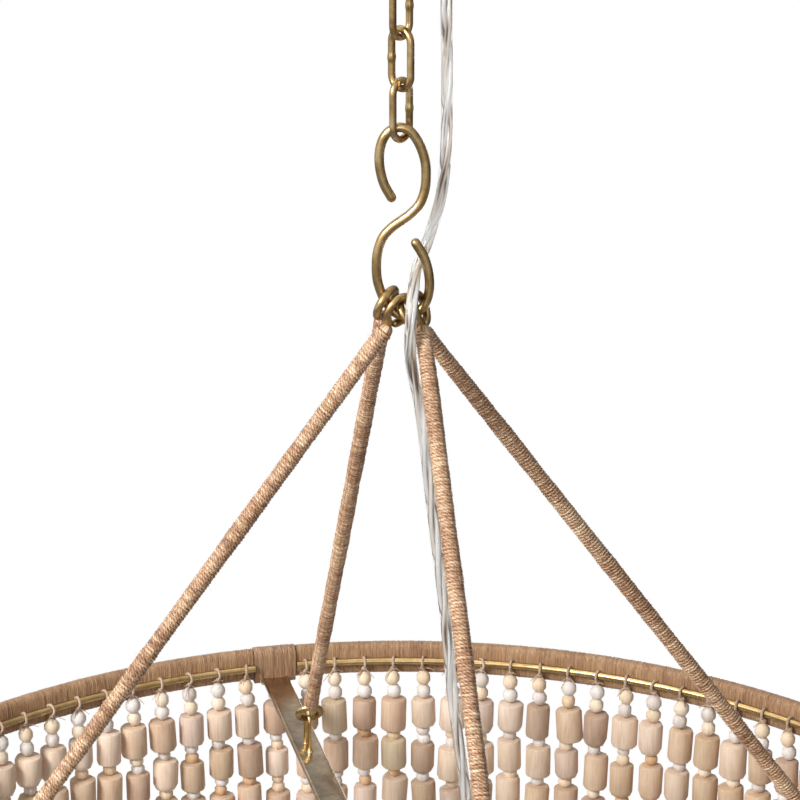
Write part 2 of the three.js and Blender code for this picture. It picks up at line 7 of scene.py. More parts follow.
import bmesh
import bpy
import numpy as np
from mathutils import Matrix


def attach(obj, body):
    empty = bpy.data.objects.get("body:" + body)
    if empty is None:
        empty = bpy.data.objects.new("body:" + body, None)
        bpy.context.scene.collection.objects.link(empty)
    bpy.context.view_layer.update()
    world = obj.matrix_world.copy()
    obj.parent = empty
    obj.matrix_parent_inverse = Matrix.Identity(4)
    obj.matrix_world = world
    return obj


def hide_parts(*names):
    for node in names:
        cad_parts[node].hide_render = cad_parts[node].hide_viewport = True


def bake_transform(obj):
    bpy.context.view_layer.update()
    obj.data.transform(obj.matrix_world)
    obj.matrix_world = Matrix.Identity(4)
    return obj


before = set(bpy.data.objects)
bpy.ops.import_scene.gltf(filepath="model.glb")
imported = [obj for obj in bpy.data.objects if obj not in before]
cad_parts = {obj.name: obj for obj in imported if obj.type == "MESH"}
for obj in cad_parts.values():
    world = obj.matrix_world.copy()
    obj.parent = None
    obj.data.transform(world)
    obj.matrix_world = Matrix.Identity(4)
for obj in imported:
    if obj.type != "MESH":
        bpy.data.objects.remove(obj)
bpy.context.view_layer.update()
MM = 0.001

# %% [markdown]
# ## The camera
# The photograph was taken with a long lens, a little above the point where the four rods
# meet. That point is called the hub, and most heights below are counted from it.

# %% Camera
hub = np.array([0.0, 0.0, -294.6])
from_hub = np.array([-0.6, -1352, 389])
tilt_down = 17.78
camera_data = bpy.data.cameras.new("camera")
camera_data.lens = 117.8
camera_data.sensor_width = 36
camera = bpy.data.objects.new("camera", camera_data)
camera.location = (hub + from_hub) * MM
camera.rotation_euler = (np.radians(90 - tilt_down), 0, 0)
bpy.context.scene.collection.objects.link(camera)
bpy.context.scene.camera = camera
print("camera", round(np.linalg.norm(from_hub)), "mm from the hub")

# %% [markdown]
# ## Paths
# A wire or a cord is a path with a section carried along it. The paths that bend freely run
# through a few points on a smooth curve, as they do in the CAD model, so that both lie in the
# same place.

# %% Path helpers


def unit(vectors):
    """Each vector divided by its own length."""
    return vectors / np.linalg.norm(vectors, axis=-1, keepdims=True)


def distance_along(path):
    """The running sum of the steps from point to point."""
    return np.concatenate([[0], np.cumsum(np.linalg.norm(np.diff(path, axis=0), axis=1))])


def curve_through(points, steps):
    """A centripetal spline: a cubic between each two points, with a slope at each point that
    is weighted by the square roots of the distances to its neighbours."""
    p = np.asarray(points, float)
    p = np.vstack([2 * p[0] - p[1], p, 2 * p[-1] - p[-2]])
    root = np.sqrt(np.linalg.norm(np.diff(p, axis=0), axis=1))[:, None]
    before, span, after = root[:-2], root[1:-1], root[2:]
    a, b, c, d = p[:-3], p[1:-2], p[2:-1], p[3:]
    leave = ((b - a) / before - (c - a) / (before + span) + (c - b) / span) * span
    arrive = ((c - b) / span - (d - b) / (span + after) + (d - c) / after) * span
    t = np.linspace(0, 1, steps, endpoint=False)[None, :, None]
    square = -3 * b + 3 * c - 2 * leave - arrive
    cube = 2 * b - 2 * c + leave + arrive
    curve = b[:, None] + leave[:, None] * t + square[:, None] * t**2 + cube[:, None] * t**3
    return np.vstack([curve.reshape(-1, 3), p[-2]])


def evenly(path, count):
    """The same path with count points at equal distances along it."""
    s = distance_along(path)
    places = np.linspace(0, s[-1], count)
    return np.stack([np.interp(places, s, path[:, i]) for i in range(3)], axis=1)


def arc_points(radius, start, stop, count):
    """Pairs (radius cos a, radius sin a) for angles a from start to stop, in radians."""
    a = np.linspace(start, stop, count)
    return np.stack([radius * np.cos(a), radius * np.sin(a)], axis=1)


def level_circle(radius, angles, height):
    """Points (radius cos a, radius sin a, height) for each angle a."""
    return np.c_[radius * np.cos(angles), radius * np.sin(angles), np.full(len(angles), height)]


def round_angles(count):
    """count equal steps round a circle, from 0."""
    return np.arange(count) * 2 * np.pi / count


# %% [markdown]
# ## Shells
# A shell is a grid of points: one row for each place along the path, one column for each
# place round the section. The rows carry a number of turns, which becomes the U of the UV
# map, so that a wound finish knows where each turn of twine lies.

# %% Shell helpers


def grid_faces(rows, columns, closed):
    """Four corners for each cell of a grid whose columns close on themselves."""
    i = np.arange(rows if closed else rows - 1)[:, None]
    j = np.arange(columns)[None, :]
    below, beside = (i + 1) % rows, (j + 1) % columns
    corners = [i * columns + j, i * columns + beside, below * columns + beside, below * columns + j]
    return np.stack(np.broadcast_arrays(*corners), axis=-1).reshape(-1, 4)


def grid_uv(turns, columns, closed):
    """U is the turn number of each row and V runs from 0 to 1 round the section."""
    first = np.asarray(turns, float)
    second = np.append(first[1:], 2 * first[-1] - first[-2]) if closed else first[1:]
    first = first if closed else first[:-1]
    v = np.arange(columns + 1) / columns
    u0, v0 = np.meshgrid(first, v[:-1], indexing="ij")
    u1, v1 = np.meshgrid(second, v[1:], indexing="ij")
    return np.stack([u0, v0, u0, v1, u1, v1, u1, v0], axis=-1).reshape(-1, 2)


def shell_from_rows(rows, turns, closed=False):
    """Points, faces and UV of a grid of points with the shape (rows, columns, 3)."""
    count, columns = rows.shape[:2]
    return rows.reshape(-1, 3), grid_faces(count, columns, closed), grid_uv(turns, columns, closed)


def capped(rows, count):
    """The same rows with the first and the last repeated count times more."""
    return np.concatenate([rows[:1].repeat(count, 0), rows, rows[-1:].repeat(count, 0)])


def carried(path, section, across, ends="flat", closed=False, turns=None):
    """A section carried along a path. section holds pairs (s, t) for each row and column, and
    a point is path + s n + t b, where n is across made square to the heading and b = heading x n.
    A flat end shrinks to a point at once, a round one by the cosine of 24, 48, 70, 90 degrees."""
    path = np.asarray(path, float)
    ahead = np.roll(path, -1, 0) - np.roll(path, 1, 0) if closed else np.gradient(path, axis=0)
    heading = unit(ahead)
    across = np.broadcast_to(np.asarray(across, float), path.shape)
    section = np.broadcast_to(section, (len(path),) + np.shape(section)[-2:])
    turns = distance_along(path) / 10 if turns is None else np.asarray(turns, float)
    if not closed:
        bend = np.radians([90, 70, 48, 24] if ends == "round" else [0])
        shrink = np.cos(bend) if ends == "round" else np.zeros(1)
        scale = np.concatenate([shrink, np.ones(len(path)), shrink[::-1]])
        size = np.linalg.norm(section[[0, -1]], axis=-1).mean(axis=1)
        first = path[0] - heading[0] * (size[0] * np.sin(bend))[:, None]
        last = path[-1] + heading[-1] * (size[1] * np.sin(bend[::-1]))[:, None]
        path = np.vstack([first, path, last])
        heading, across, turns = (capped(rows, len(bend)) for rows in (heading, across, turns))
        section = capped(section, len(bend)) * scale[:, None, None]
    normal = unit(across - (across * heading).sum(-1, keepdims=True) * heading)
    side = np.cross(heading, normal)
    rows = path[:, None] + section[..., :1] * normal[:, None] + section[..., 1:] * side[:, None]
    return shell_from_rows(rows, turns, closed)


def wire(path, radius, across, sides=14, ends="round", closed=False, turns=None):
    """A round section carried along a path: s = radius cos a, t = radius sin a. radius is one
    number, one for each row, or one for each row and column."""
    a = round_angles(sides)
    radius = np.asarray(radius, float)
    radius = radius[:, None] if radius.ndim == 1 else radius
    radius = np.broadcast_to(radius, (len(path), sides))[..., None]
    section = radius * np.stack([np.cos(a), np.sin(a)], axis=1)
    return carried(path, section, across, ends, closed, turns)


def turned(profile, sides=32):
    """A turned form about the Z axis: (r cos a, r sin a, h) for pairs (r, h), listed upwards."""
    r, h = np.asarray(profile, float).T
    a = round_angles(sides)
    heights = np.repeat(h[:, None], sides, 1)
    rows = np.stack([r[:, None] * np.cos(a), r[:, None] * np.sin(a), heights], axis=-1)
    return shell_from_rows(rows, np.arange(len(r)))


def moved(shell, by):
    """The same shell, shifted."""
    return shell[0] + np.asarray(by, float), shell[1], shell[2]


def aimed(shell, angle, at):
    """The same shell with its Z axis laid level, pointing away from the middle at an angle."""
    c, s = np.cos(angle), np.sin(angle)
    axes = np.array([[0, 0, -1], [-s, c, 0], [c, s, 0]])
    return shell[0] @ axes + np.asarray(at, float), shell[1], shell[2]


def together(shells):
    """Several shells as one, with each one's corner numbers counted on from the last."""
    points, faces, uv = zip(*shells)
    counts = np.cumsum([0] + [len(part) for part in points[:-1]])
    return np.vstack(points), np.vstack([part + n for part, n in zip(faces, counts)]), np.vstack(uv)


def make_piece(name, shell, finish, body, stands_for=(), tint=None, sharp=40):
    """Puts a shell, in millimetres, into a mesh, closes its seams and poles, and gives it its
    finish and its body. tint is one colour for each point."""
    points, faces, uv = shell
    mesh = bpy.data.meshes.new(name)
    mesh.from_pydata((points * MM).tolist(), [], faces.tolist())
    layer = mesh.uv_layers.new(name="UVMap")
    layer.data.foreach_set("uv", uv.astype(np.float32).ravel())
    if tint is not None:
        colours = mesh.attributes.new("tint", "FLOAT_COLOR", "POINT")
        colours.data.foreach_set("color", np.c_[tint, np.ones(len(tint))].ravel())
    skin = bmesh.new()
    skin.from_mesh(mesh)
    bmesh.ops.remove_doubles(skin, verts=skin.verts, dist=1e-6)
    skin.to_mesh(mesh)
    skin.free()
    mesh.shade_smooth()
    mesh.set_sharp_from_angle(angle=np.radians(sharp))
    material, slot = finish
    mesh.materials.append(material)
    piece = bpy.data.objects.new(name, mesh)
    bpy.context.scene.collection.objects.link(piece)
    if body:
        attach(piece, body)
    if stands_for:
        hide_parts(*stands_for)
    return piece


# %% [markdown]
# ## Finishes
# Brass, twine, wood and the clear flex are made of shader nodes. A small helper adds a node
# and fills its sockets, and a few more name the steps that come often. Colours are written as
# they look on a screen, from 0 to 255, and are turned into the linear values that a shader
# works with.

# %% Finish helpers


def screen_colour(red, green, blue):
    """Linear colour from screen values: below 0.04045 divided by 12.92, above it
    ((c + 0.055) / 1.055) to the power 2.4."""
    c = np.array([red, green, blue]) / 255
    return tuple(np.where(c <= 0.04045, c / 12.92, ((c + 0.055) / 1.055) ** 2.4))


def new_finish(name, colour, roughness, metallic=0.0):
    """A material whose shader has its plain values set, with its node tree and its shader."""
    material = bpy.data.materials.new(name)
    material.use_nodes = True
    shader = material.node_tree.nodes["Principled BSDF"]
    shader.inputs["Base Color"].default_value = (*screen_colour(*colour), 1)
    shader.inputs["Roughness"].default_value = roughness
    shader.inputs["Metallic"].default_value = metallic
    return material, material.node_tree, shader


def put(tree, kind, sockets=None, **settings):
    """Adds a node. A socket's value is a number, a colour or another node's output."""
    made = tree.nodes.new("ShaderNode" + kind)
    for key, value in settings.items():
        setattr(made, key, value)
    for key, value in (sockets or {}).items():
        if isinstance(value, bpy.types.NodeSocket):
            tree.links.new(value, made.inputs[key])
        else:
            made.inputs[key].default_value = value
    return made


def calculate(tree, operation, *values):
    """One step of arithmetic on numbers or on other nodes' outputs."""
    return put(tree, "Math", dict(enumerate(values)), operation=operation).outputs[0]


def remap(tree, value, start, stop, low, high):
    """Lays the range from start to stop out from low to high, and holds it there."""
    sockets = {"Value": value, "From Min": start, "From Max": stop, "To Min": low, "To Max": high}
    return put(tree, "MapRange", sockets).outputs["Result"]


def mixed(tree, share, first, second):
    """first (1 - share) + second share."""
    sockets = {"Factor": share, "A": first, "B": second}
    return put(tree, "Mix", sockets, data_type="FLOAT").outputs["Result"]


def multiplied(tree, first, second):
    """One colour times another."""
    sockets = {"Factor": 1.0, "A": first, "B": second}
    return put(tree, "Mix", sockets, data_type="RGBA", blend_type="MULTIPLY").outputs["Result"]


def stretched(tree, coordinate, scale, turn=0.0):
    """A coordinate multiplied by a scale for each axis and turned about the third, so that a
    noise on it is drawn out."""
    source = put(tree, "TexCoord").outputs[coordinate]
    sockets = {"Vector": source, "Scale": scale, "Rotation": (0, 0, turn)}
    return put(tree, "Mapping", sockets).outputs[0]


def ramp(tree, source, stops):
    """A colour ramp through (place, screen colour) stops."""
    made = put(tree, "ValToRGB", {"Fac": source})
    elements = made.color_ramp.elements
    while len(elements) < len(stops):
        elements.new(0.5)
    for element, (place, colour) in zip(elements, stops):
        element.position = place
        element.color = (*screen_colour(*colour), 1)
    return made.outputs["Color"]


def noise(tree, vector, scale=1.0, detail=2.0, roughness=0.5):
    """A noise between 0 and 1."""
    values = {"Vector": vector, "Scale": scale, "Detail": detail, "Roughness": roughness}
    return put(tree, "TexNoise", values).outputs["Fac"]


def raise_bumps(tree, shader, height, distance, strength=1.0):
    """Tilts the shading by a height field, distance metres deep."""
    bump = put(tree, "Bump", {"Height": height, "Distance": distance, "Strength": strength})
    tree.links.new(bump.outputs["Normal"], shader.inputs["Normal"])


# %% [markdown]
# ## Brass
# The chain, the hook and the wire eyes are an aged brass, brown where the polish has gone
# and paler where hands and neighbours rub it. A slow noise moves the colour and the
# roughness together, as tarnish does, and a fine one gives the satin grain.

# %% Brass
patch_scale, grain_scale = 90, 1400


def brass(name, slot, dark, mid, pale, rough):
    """Metal whose colour and roughness follow one noise, with a fine grain on top."""
    material, tree, shader = new_finish(name, mid, rough, metallic=1.0)
    place = stretched(tree, "Object", (1, 1, 1))
    patches = noise(tree, place, patch_scale, 4, 0.6)
    colour = ramp(tree, patches, [(0.3, dark), (0.52, mid), (0.75, pale)])
    tree.links.new(colour, shader.inputs["Base Color"])
    spread = remap(tree, patches, 0.3, 0.75, rough + 0.08, rough - 0.08)
    tree.links.new(spread, shader.inputs["Roughness"])
    raise_bumps(tree, shader, noise(tree, place, grain_scale, 3), 0.00002, 0.2)
    return material, slot


aged_brass = brass("aged brass", "antique_brass", (124, 98, 62), (178, 149, 102), (214, 190, 150), 0.29)
bar_brass = brass("bar brass", "polished_brass", (158, 140, 118), (190, 170, 144), (216, 198, 170), 0.22)
rail_brass = brass("rail brass", "bead_wood", (156, 128, 84), (192, 162, 112), (214, 188, 142), 0.28)
wire_brass = brass("bright wire", "antique_brass", (178, 150, 96), (210, 182, 128), (230, 208, 160), 0.2)
steel = brass("plain steel", "steel", (120, 121, 123), (150, 151, 153), (172, 173, 175), 0.38)
print("materials so far, with those of the CAD model", len(bpy.data.materials))

# %% [markdown]
# ## Twine
# The twine is a loosely spun plant fibre. In the UV map one unit of U is one turn, so a noise
# that is coarse along U gives each turn its own tone, and one that is fine along U and long
# along V draws the fibres in the direction in which they run round the rod. On the rods the
# tones reach from near black to near white, so the fibre and ply flecks carry painted glints
# and painted shade besides the twine's own tone. Where the twine has plies, a painted shade
# darkens the colour between turns.

# %% Twine


def u_and_v(tree):
    """The two parts of the UV map."""
    split = put(tree, "SeparateXYZ", {"Vector": put(tree, "TexCoord").outputs["UV"]})
    return split.outputs["X"], split.outputs["Y"]


def plies(tree, count):
    """The marks that the plies of a twisted twine leave: the sine of 2 pi (U + count V), bent
    by a noise, so that they cross each turn aslant."""
    u, v = u_and_v(tree)
    wander = noise(tree, stretched(tree, "UV", (1.1, 12, 1)), 1, 3)
    slanted = calculate(tree, "MULTIPLY_ADD", v, float(count), u)
    bent = calculate(tree, "MULTIPLY_ADD", wander, 2.1, slanted)
    wave = calculate(tree, "SINE", calculate(tree, "MULTIPLY", bent, 2 * np.pi))
    return remap(tree, wave, -1, 1, 0, 1)


def painted_groove_shade(tree):
    """Painted shade between the turns of a helix, darkest in the groove: the square root of
    |sin pi (U + V)|, from 0 in the groove to 1 on the ridge."""
    angle = calculate(tree, "MULTIPLY", calculate(tree, "ADD", *u_and_v(tree)), np.pi)
    height = calculate(tree, "ABSOLUTE", calculate(tree, "SINE", angle))
    return calculate(tree, "POWER", height, 0.5)


def twine(name, fibres, streaks, tones, lay=0.0, shine=0.62, ply=0):
    """Wound twine: tone from a noise by turn, fibres from a noise drawn out along each turn,
    and where ply isn't zero the slanted marks of its plies and a painted shade that darkens the colour
    between turns."""
    material, tree, shader = new_finish(name, tones[1], shine)
    turn_tone = noise(tree, stretched(tree, "UV", (0.9, 1.6, 1)), 1, 1)
    fibre = noise(tree, stretched(tree, "UV", (fibres, streaks, 1), lay), 1, 3)
    slow = noise(tree, stretched(tree, "Object", (24, 24, 24)), 1, 2)
    relief = mixed(tree, 0.3, fibre, plies(tree, ply)) if ply else fibre
    tone = mixed(tree, 0.22, mixed(tree, 0.55, turn_tone, relief), slow)
    colour = ramp(tree, tone, list(zip((0.3, 0.48, 0.68), tones)))
    if ply:
        # painted shade: the colour darkens to a third in the hollow between turns
        colour = multiplied(tree, colour, remap(tree, painted_groove_shade(tree), 0.15, 0.75, 0.34, 1.0))
    tree.links.new(colour, shader.inputs["Base Color"])
    rough = remap(tree, fibre, 0.35, 0.65, shine + 0.2, shine - 0.12)
    tree.links.new(rough, shader.inputs["Roughness"])
    raise_bumps(tree, shader, relief, 0.00034)
    shader.inputs["Sheen Weight"].default_value = 0.18
    return material, "twine"


# The rods' tones run from near black to near white: besides the twine's own uneven tone, the dark end is
# painted shade between the fibres and the pale end is painted glints on them.
rod_tones_and_painted_light = [(60, 32, 18), (176, 129, 92), (255, 229, 192)]
rod_twine = twine("rod twine", 1.8, 9, rod_tones_and_painted_light, 0.3, 0.4, ply=12)
rim_twine = twine("rim twine", 3, 12, [(96, 66, 44), (158, 120, 86), (196, 162, 124)])
cuff_twine = twine("cuff twine", 3, 12, [(78, 54, 36), (154, 118, 88), (192, 158, 124)])
ring_twine = twine("ring twine", 6, 8, [(116, 82, 60), (172, 132, 102), (212, 178, 144)], ply=9)
string_twine = twine("string twine", 5, 6, [(124, 98, 78), (184, 158, 134), (222, 204, 184)])
print("nodes in the rods' twine", len(rod_twine[0].node_tree.nodes))

# %% [markdown]
# ## Wood beads
# Each bead is turned from pale wood and left nearly raw. Some are washed white, some are
# cream. The mesh carries the colour of each bead as an attribute, and a noise that is drawn
# out along the strand gives the grain.

# %% Bead wood
bead_material, tree, shader = new_finish("bead wood", (210, 186, 164), 0.62)
tint = put(tree, "Attribute", attribute_name="tint").outputs["Color"]
lines = noise(tree, stretched(tree, "Object", (700, 700, 40)), 1, 3, 0.6)
clouds = noise(tree, stretched(tree, "Object", (110, 110, 40)), 1, 2)
shade = ramp(tree, mixed(tree, 0.5, lines, clouds), [(0.3, (228, 218, 208)), (0.56, (255, 255, 255))])
tree.links.new(multiplied(tree, tint, shade), shader.inputs["Base Color"])
raise_bumps(tree, shader, lines, 0.00008, 0.4)
bead_wood = (bead_material, "bead_wood")

# %% [markdown]
# ## Flex, lamp glass and plastic
# The flex has a clear jacket, through which two twisted conductors show, one silvery and one
# coppery. The jacket is a real refracting tube, and the conductors lie inside it with their
# strands as a noise along the wire. The bulbs are opal glass and the holders a cream plastic.
# Four CAD solids are shown as they are, and only get the steel finish.

# %% Clear jacket, conductors, glass and plastic
jacket_material, _, shader = new_finish("clear jacket", (246, 246, 244), 0.12)
shader.inputs["Transmission Weight"].default_value = 1.0
shader.inputs["IOR"].default_value = 1.46
clear_jacket = (jacket_material, "flex_clear")


def stranded(name, dark, mid, pale):
    """Bare strands: streaks that run along the wire, with a slight twist."""
    material, tree, shader = new_finish(name, mid, 0.4, metallic=0.35)
    streaks = noise(tree, stretched(tree, "UV", (0.25, 5, 1)), 1, 2)
    colour = ramp(tree, streaks, [(0.36, dark), (0.46, mid), (0.56, pale)])
    tree.links.new(colour, shader.inputs["Base Color"])
    raise_bumps(tree, shader, streaks, 0.0002, 0.5)
    return material, "flex_clear"


silver_strands = stranded("silver strands", (112, 106, 100), (216, 213, 210), (246, 246, 246))
copper_strands = stranded("copper strands", (112, 88, 70), (208, 196, 184), (240, 235, 230))

glass_material, tree, shader = new_finish("opal glass", (250, 246, 236), 0.22)
shader.inputs["Coat Weight"].default_value = 0.6
shader.inputs["Coat Roughness"].default_value = 0.08
haze = noise(tree, stretched(tree, "Object", (60, 60, 60)), 1, 2)
milk = ramp(tree, haze, [(0.3, (238, 232, 220)), (0.7, (252, 249, 242))])
tree.links.new(milk, shader.inputs["Base Color"])
opal_glass = (glass_material, "lamp_glass")

plastic_material, tree, shader = new_finish("cream plastic", (232, 225, 210), 0.42)
mottle = noise(tree, stretched(tree, "Object", (180, 180, 180)), 1, 2)
plastic = ramp(tree, mottle, [(0.3, (224, 216, 200)), (0.7, (238, 232, 219))])
tree.links.new(plastic, shader.inputs["Base Color"])
raise_bumps(tree, shader, noise(tree, stretched(tree, "Object", (1, 1, 1)), 900, 2), 0.00005, 0.4)
cream_plastic = (plastic_material, "holder")

for name in ("mounting_strap", "threaded_nipple", "rim_core", "lamp_stem"):
    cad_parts[name].data.materials.clear()
    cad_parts[name].data.materials.append(steel[0])
print("all materials, with those of the CAD model", len(bpy.data.materials))

# %% [markdown]
# ## Ceiling fitting
# A shallow spun canopy covers the ceiling box. Its wall is thin, so the profile runs up the
# outside and down the inside. The loop below it is a ring of wire on a turned collar, turned
# half way between the two axes, and a plastic bushing lets the flex out.

# %% Canopy, loop and bushing
bend_middle, bend_width, bend_depth, wall = [36, -4], 27.5, 22, 1.6
curve = arc_points(1, 0, np.pi / 2, 18)
outside = bend_middle + curve * [bend_width, -bend_depth]
inside = bend_middle + curve * [bend_width - wall, wall - bend_depth]
lip = [[61.9, -0.2], [62.6, 0.0], [63.2, -0.1], [63.5, -0.6]]
profile = np.vstack([[[0, -24.4]], inside[::-1], lip, outside, [[0, -26.0]]])[::-1]
make_piece("canopy_dish", turned(profile, 72), aged_brass, "ceiling_fitting", ["canopy"])

collar = turned([
    [0, -38.3], [7.4, -38.3], [8.9, -37.8], [9.4, -36.6], [9.6, -35.4], [10.9, -34.4], [11, -33.8],
    [11, -27.4], [10.6, -26.6], [9.8, -26.3], [0, -26.3]], 40)
ring_angle = round_angles(48)
half_way = np.sqrt(0.5)
ring = np.c_[half_way * np.cos(ring_angle), -half_way * np.cos(ring_angle), np.sin(ring_angle)]
eye_ring = wire(12 * ring + [0, 0, -48.8], 2.5, (half_way, half_way, 0), 16, closed=True)
make_piece("canopy_ring", together([collar, eye_ring]), aged_brass, "ceiling_fitting", ["canopy_loop"])

flex_exit = (24, 6)
bushing = turned([
    [0, -29.3], [4.2, -29.3], [6.2, -29.1], [7.4, -28.2], [7.9, -26.9], [8, -26.3], [5.4, -26.3],
    [5.4, -20.3], [0, -20.3]], 28)
make_piece("bushing", moved(bushing, (*flex_exit, 0)), cream_plastic, "ceiling_fitting", ["flex_bushing"])
print("canopy", 2 * outside[:, 0].max(), "mm across")

# %% [markdown]
# ## Chain
# A link is a length of wire bent into an oval and butt welded in the middle of one leg. The
# path is two half circles with straight legs between them, and the weld is a small swelling
# of the wire there.

# %% Chain links
link_bend = 7.0
link_leg = 8.65
link_wire = 2.0
first_link, link_pitch = -71.65, 27.0
link_turns = np.radians([52, -45, 52, -45, 52])
weld_side = [1, -1, 1, -1, 1]


def link_path(count):
    """An oval: half circles of radius 7 about (0, +8.65) and (0, -8.65), joined by legs."""
    top = arc_points(link_bend, 0, np.pi, 40) + [0, link_leg]
    bottom = arc_points(link_bend, np.pi, 2 * np.pi, 40) - [0, link_leg]
    outline = np.vstack([top, bottom, top[:1]])
    flat = np.c_[outline[:, 0], np.zeros(len(outline)), outline[:, 1]]
    return evenly(flat, count + 1)[:-1]


oval = link_path(84)
for i, turn in enumerate(link_turns):
    c, s = np.cos(turn), np.sin(turn)
    from_weld = np.hypot(oval[:, 0] - weld_side[i] * link_bend, oval[:, 2])
    wire_radius = link_wire * (1 + 0.16 * np.exp(-((from_weld / 1.7) ** 4)))
    path = np.c_[oval[:, 0] * c, oval[:, 0] * s, oval[:, 2] + first_link - link_pitch * i]
    shell = wire(path, wire_radius, (-s, c, 0), 14, closed=True)
    make_piece(f"link_{i + 1}_wire", shell, aged_brass, f"link_{i + 1}", [f"chain_link_{i + 1}"])
print("chain links", len(link_turns), "each", 2 * (link_leg + link_bend + link_wire), "mm high")

# %% [markdown]
# ## S hook
# The hook is one bent wire. Half of it, from the crossing in the middle to the tip, is a list
# of points as shares of the lobe's width and height, and the other half is the same turned
# upside down.

# %% Hook
hook_half = np.array([
    [0, 0], [0.366, 0.07], [0.724, 0.171], [0.943, 0.322], [1, 0.503],
    [0.935, 0.658], [0.675, 0.835], [0.276, 0.966], [-0.114, 1], [-0.512, 0.97],
    [-0.813, 0.889], [-0.992, 0.746], [-0.992, 0.581], [-0.813, 0.392], [-0.488, 0.241],
])
upper_lobe, lower_lobe = np.array([12.3, 49.7]), np.array([14.1, 53.2])
outline = np.vstack([hook_half[::-1] * upper_lobe, hook_half[1:] * -lower_lobe]) + [0.9, 56]
hook_path = curve_through(np.c_[outline[:, 0], np.zeros(len(outline)), outline[:, 1]], 8) + hub
hook_path = evenly(hook_path, 190)
make_piece("hook_wire", wire(hook_path, 2.6, (0, 1, 0), 18), aged_brass, "hook", ["s_hook"])
print("hook", round(distance_along(hook_path)[-1]), "mm of wire")

# %% [markdown]
# ## Rods
# Each rod is a brass coloured wire with an eye bent at both ends. The eye is nearly a full
# circle, with a short reverse bend where it leaves the line of the rod. The twist between the
# two eyes is taken up along the straight part, which the twine hides.

# %% Rod lines
eye_turn = np.radians(310)
neck = 4.0
low_eye_radius, high_eye_radius = 7.55, 8.4


def eye_drop(radius):
    """From the eye's middle to the start of its neck: the square root of r^2 + 2 r neck."""
    return np.sqrt(radius * radius + 2 * radius * neck)


def eye_path(middle, axis, side, radius):
    """A neck of radius 4 that turns off the axis, then the eye's circle about its middle."""
    drop = eye_drop(radius)
    meeting = np.arctan2(-drop, neck)
    bend = arc_points(neck, np.pi, meeting + np.pi, 10) + [neck, -drop]
    circle = arc_points(radius, meeting, meeting + eye_turn, 60)[1:]
    flat = np.vstack([bend, circle])
    return middle + flat[:, :1] * side + flat[:, 1:] * axis


cross_turn = np.radians(13.2)
foot_radius, foot_depth = 270, 350.0
eye_shares = np.array([[0.312, 0.163, 0.068], [-0.567, 0.078, 0.184],
                       [-0.078, -0.05, 0.115], [0.73, -0.184, 0.139]])
eye_faces = np.radians([-8, -39, -35, -28])
rods = []
for k, name in enumerate(["right", "back", "left", "front"]):
    angle = cross_turn + k * np.pi / 2
    head = eye_shares[k] * lower_lobe[[0, 0, 1]]
    foot = np.array([foot_radius * np.cos(angle), foot_radius * np.sin(angle), -foot_depth])
    up = unit(head - foot)
    facing = np.array([np.cos(eye_faces[k]), np.sin(eye_faces[k]), 0])
    facing = unit(facing - facing.dot(up) * up)
    rods.append({"name": name, "angle": angle, "head": head, "foot": foot, "up": up,
                 "head_side": np.cross(facing, up),
                 "foot_side": np.array([-np.sin(angle), np.cos(angle), 0])})
print("rods", [round(np.linalg.norm(rod["head"] - rod["foot"])) for rod in rods], "mm from eye to eye")

# %% Rod wires
for rod in rods:
    up = rod["up"]
    low_eye = eye_path(rod["foot"], -up, rod["foot_side"], low_eye_radius)[::-1]
    high_eye = eye_path(rod["head"], up, rod["head_side"], high_eye_radius)
    straight = np.linspace(low_eye[-1], high_eye[0], 40)[1:-1]
    path = np.vstack([low_eye, straight, high_eye]) + hub
    share = np.concatenate([np.zeros(len(low_eye)), np.linspace(0, 1, 38), np.ones(len(high_eye))])
    foot_normal = np.cross(-up, rod["foot_side"])
    head_normal = np.cross(up, rod["head_side"])
    if foot_normal.dot(head_normal) < 0:
        foot_normal = -foot_normal
    across = foot_normal * (1 - share[:, None]) + head_normal * share[:, None]
    make_piece(f"rod_wire_{rod['name']}", wire(path, 2.3, across, 14), aged_brass, "drum",
               [f"rod_core_{rod['name']}"])
print("wire in a rod", round(distance_along(path)[-1]), "mm")

# %% [markdown]
# ## Wound sleeves
# Twine wound on a rod makes a low ridge for each turn. The radius of the sleeve follows a
# rounded wave of the turn number, and the turn number itself grows by one round the rod, so
# that the ridges climb as a helix. Each turn gets a slightly different height, because the
# twine is uneven. A few hundred stray fibres stand off each rod.

# %% Winding helpers
fibre_rng = np.random.default_rng(41)


def ridge(turns, rng, uneven):
    """A rounded wave, the square root of |sin(pi turn)|, times a height that each turn draws
    for itself between 1 - uneven and 1 + uneven."""
    whole = np.floor(turns).astype(int)
    heights = rng.uniform(1 - uneven, 1 + uneven, whole.max() - whole.min() + 1)
    return np.sqrt(np.abs(np.sin(np.pi * turns))) * heights[whole - whole.min()]


def as_one(copies, faces, uv):
    """An array of copies' points as one shell, with the faces and UV of one copy repeated."""
    count, each = len(copies), int(np.prod(copies.shape[1:-1]))
    faces = faces[None] + (np.arange(count) * each)[:, None, None]
    return copies.reshape(-1, 3), faces.reshape(-1, 4), np.tile(uv, (count, 1))


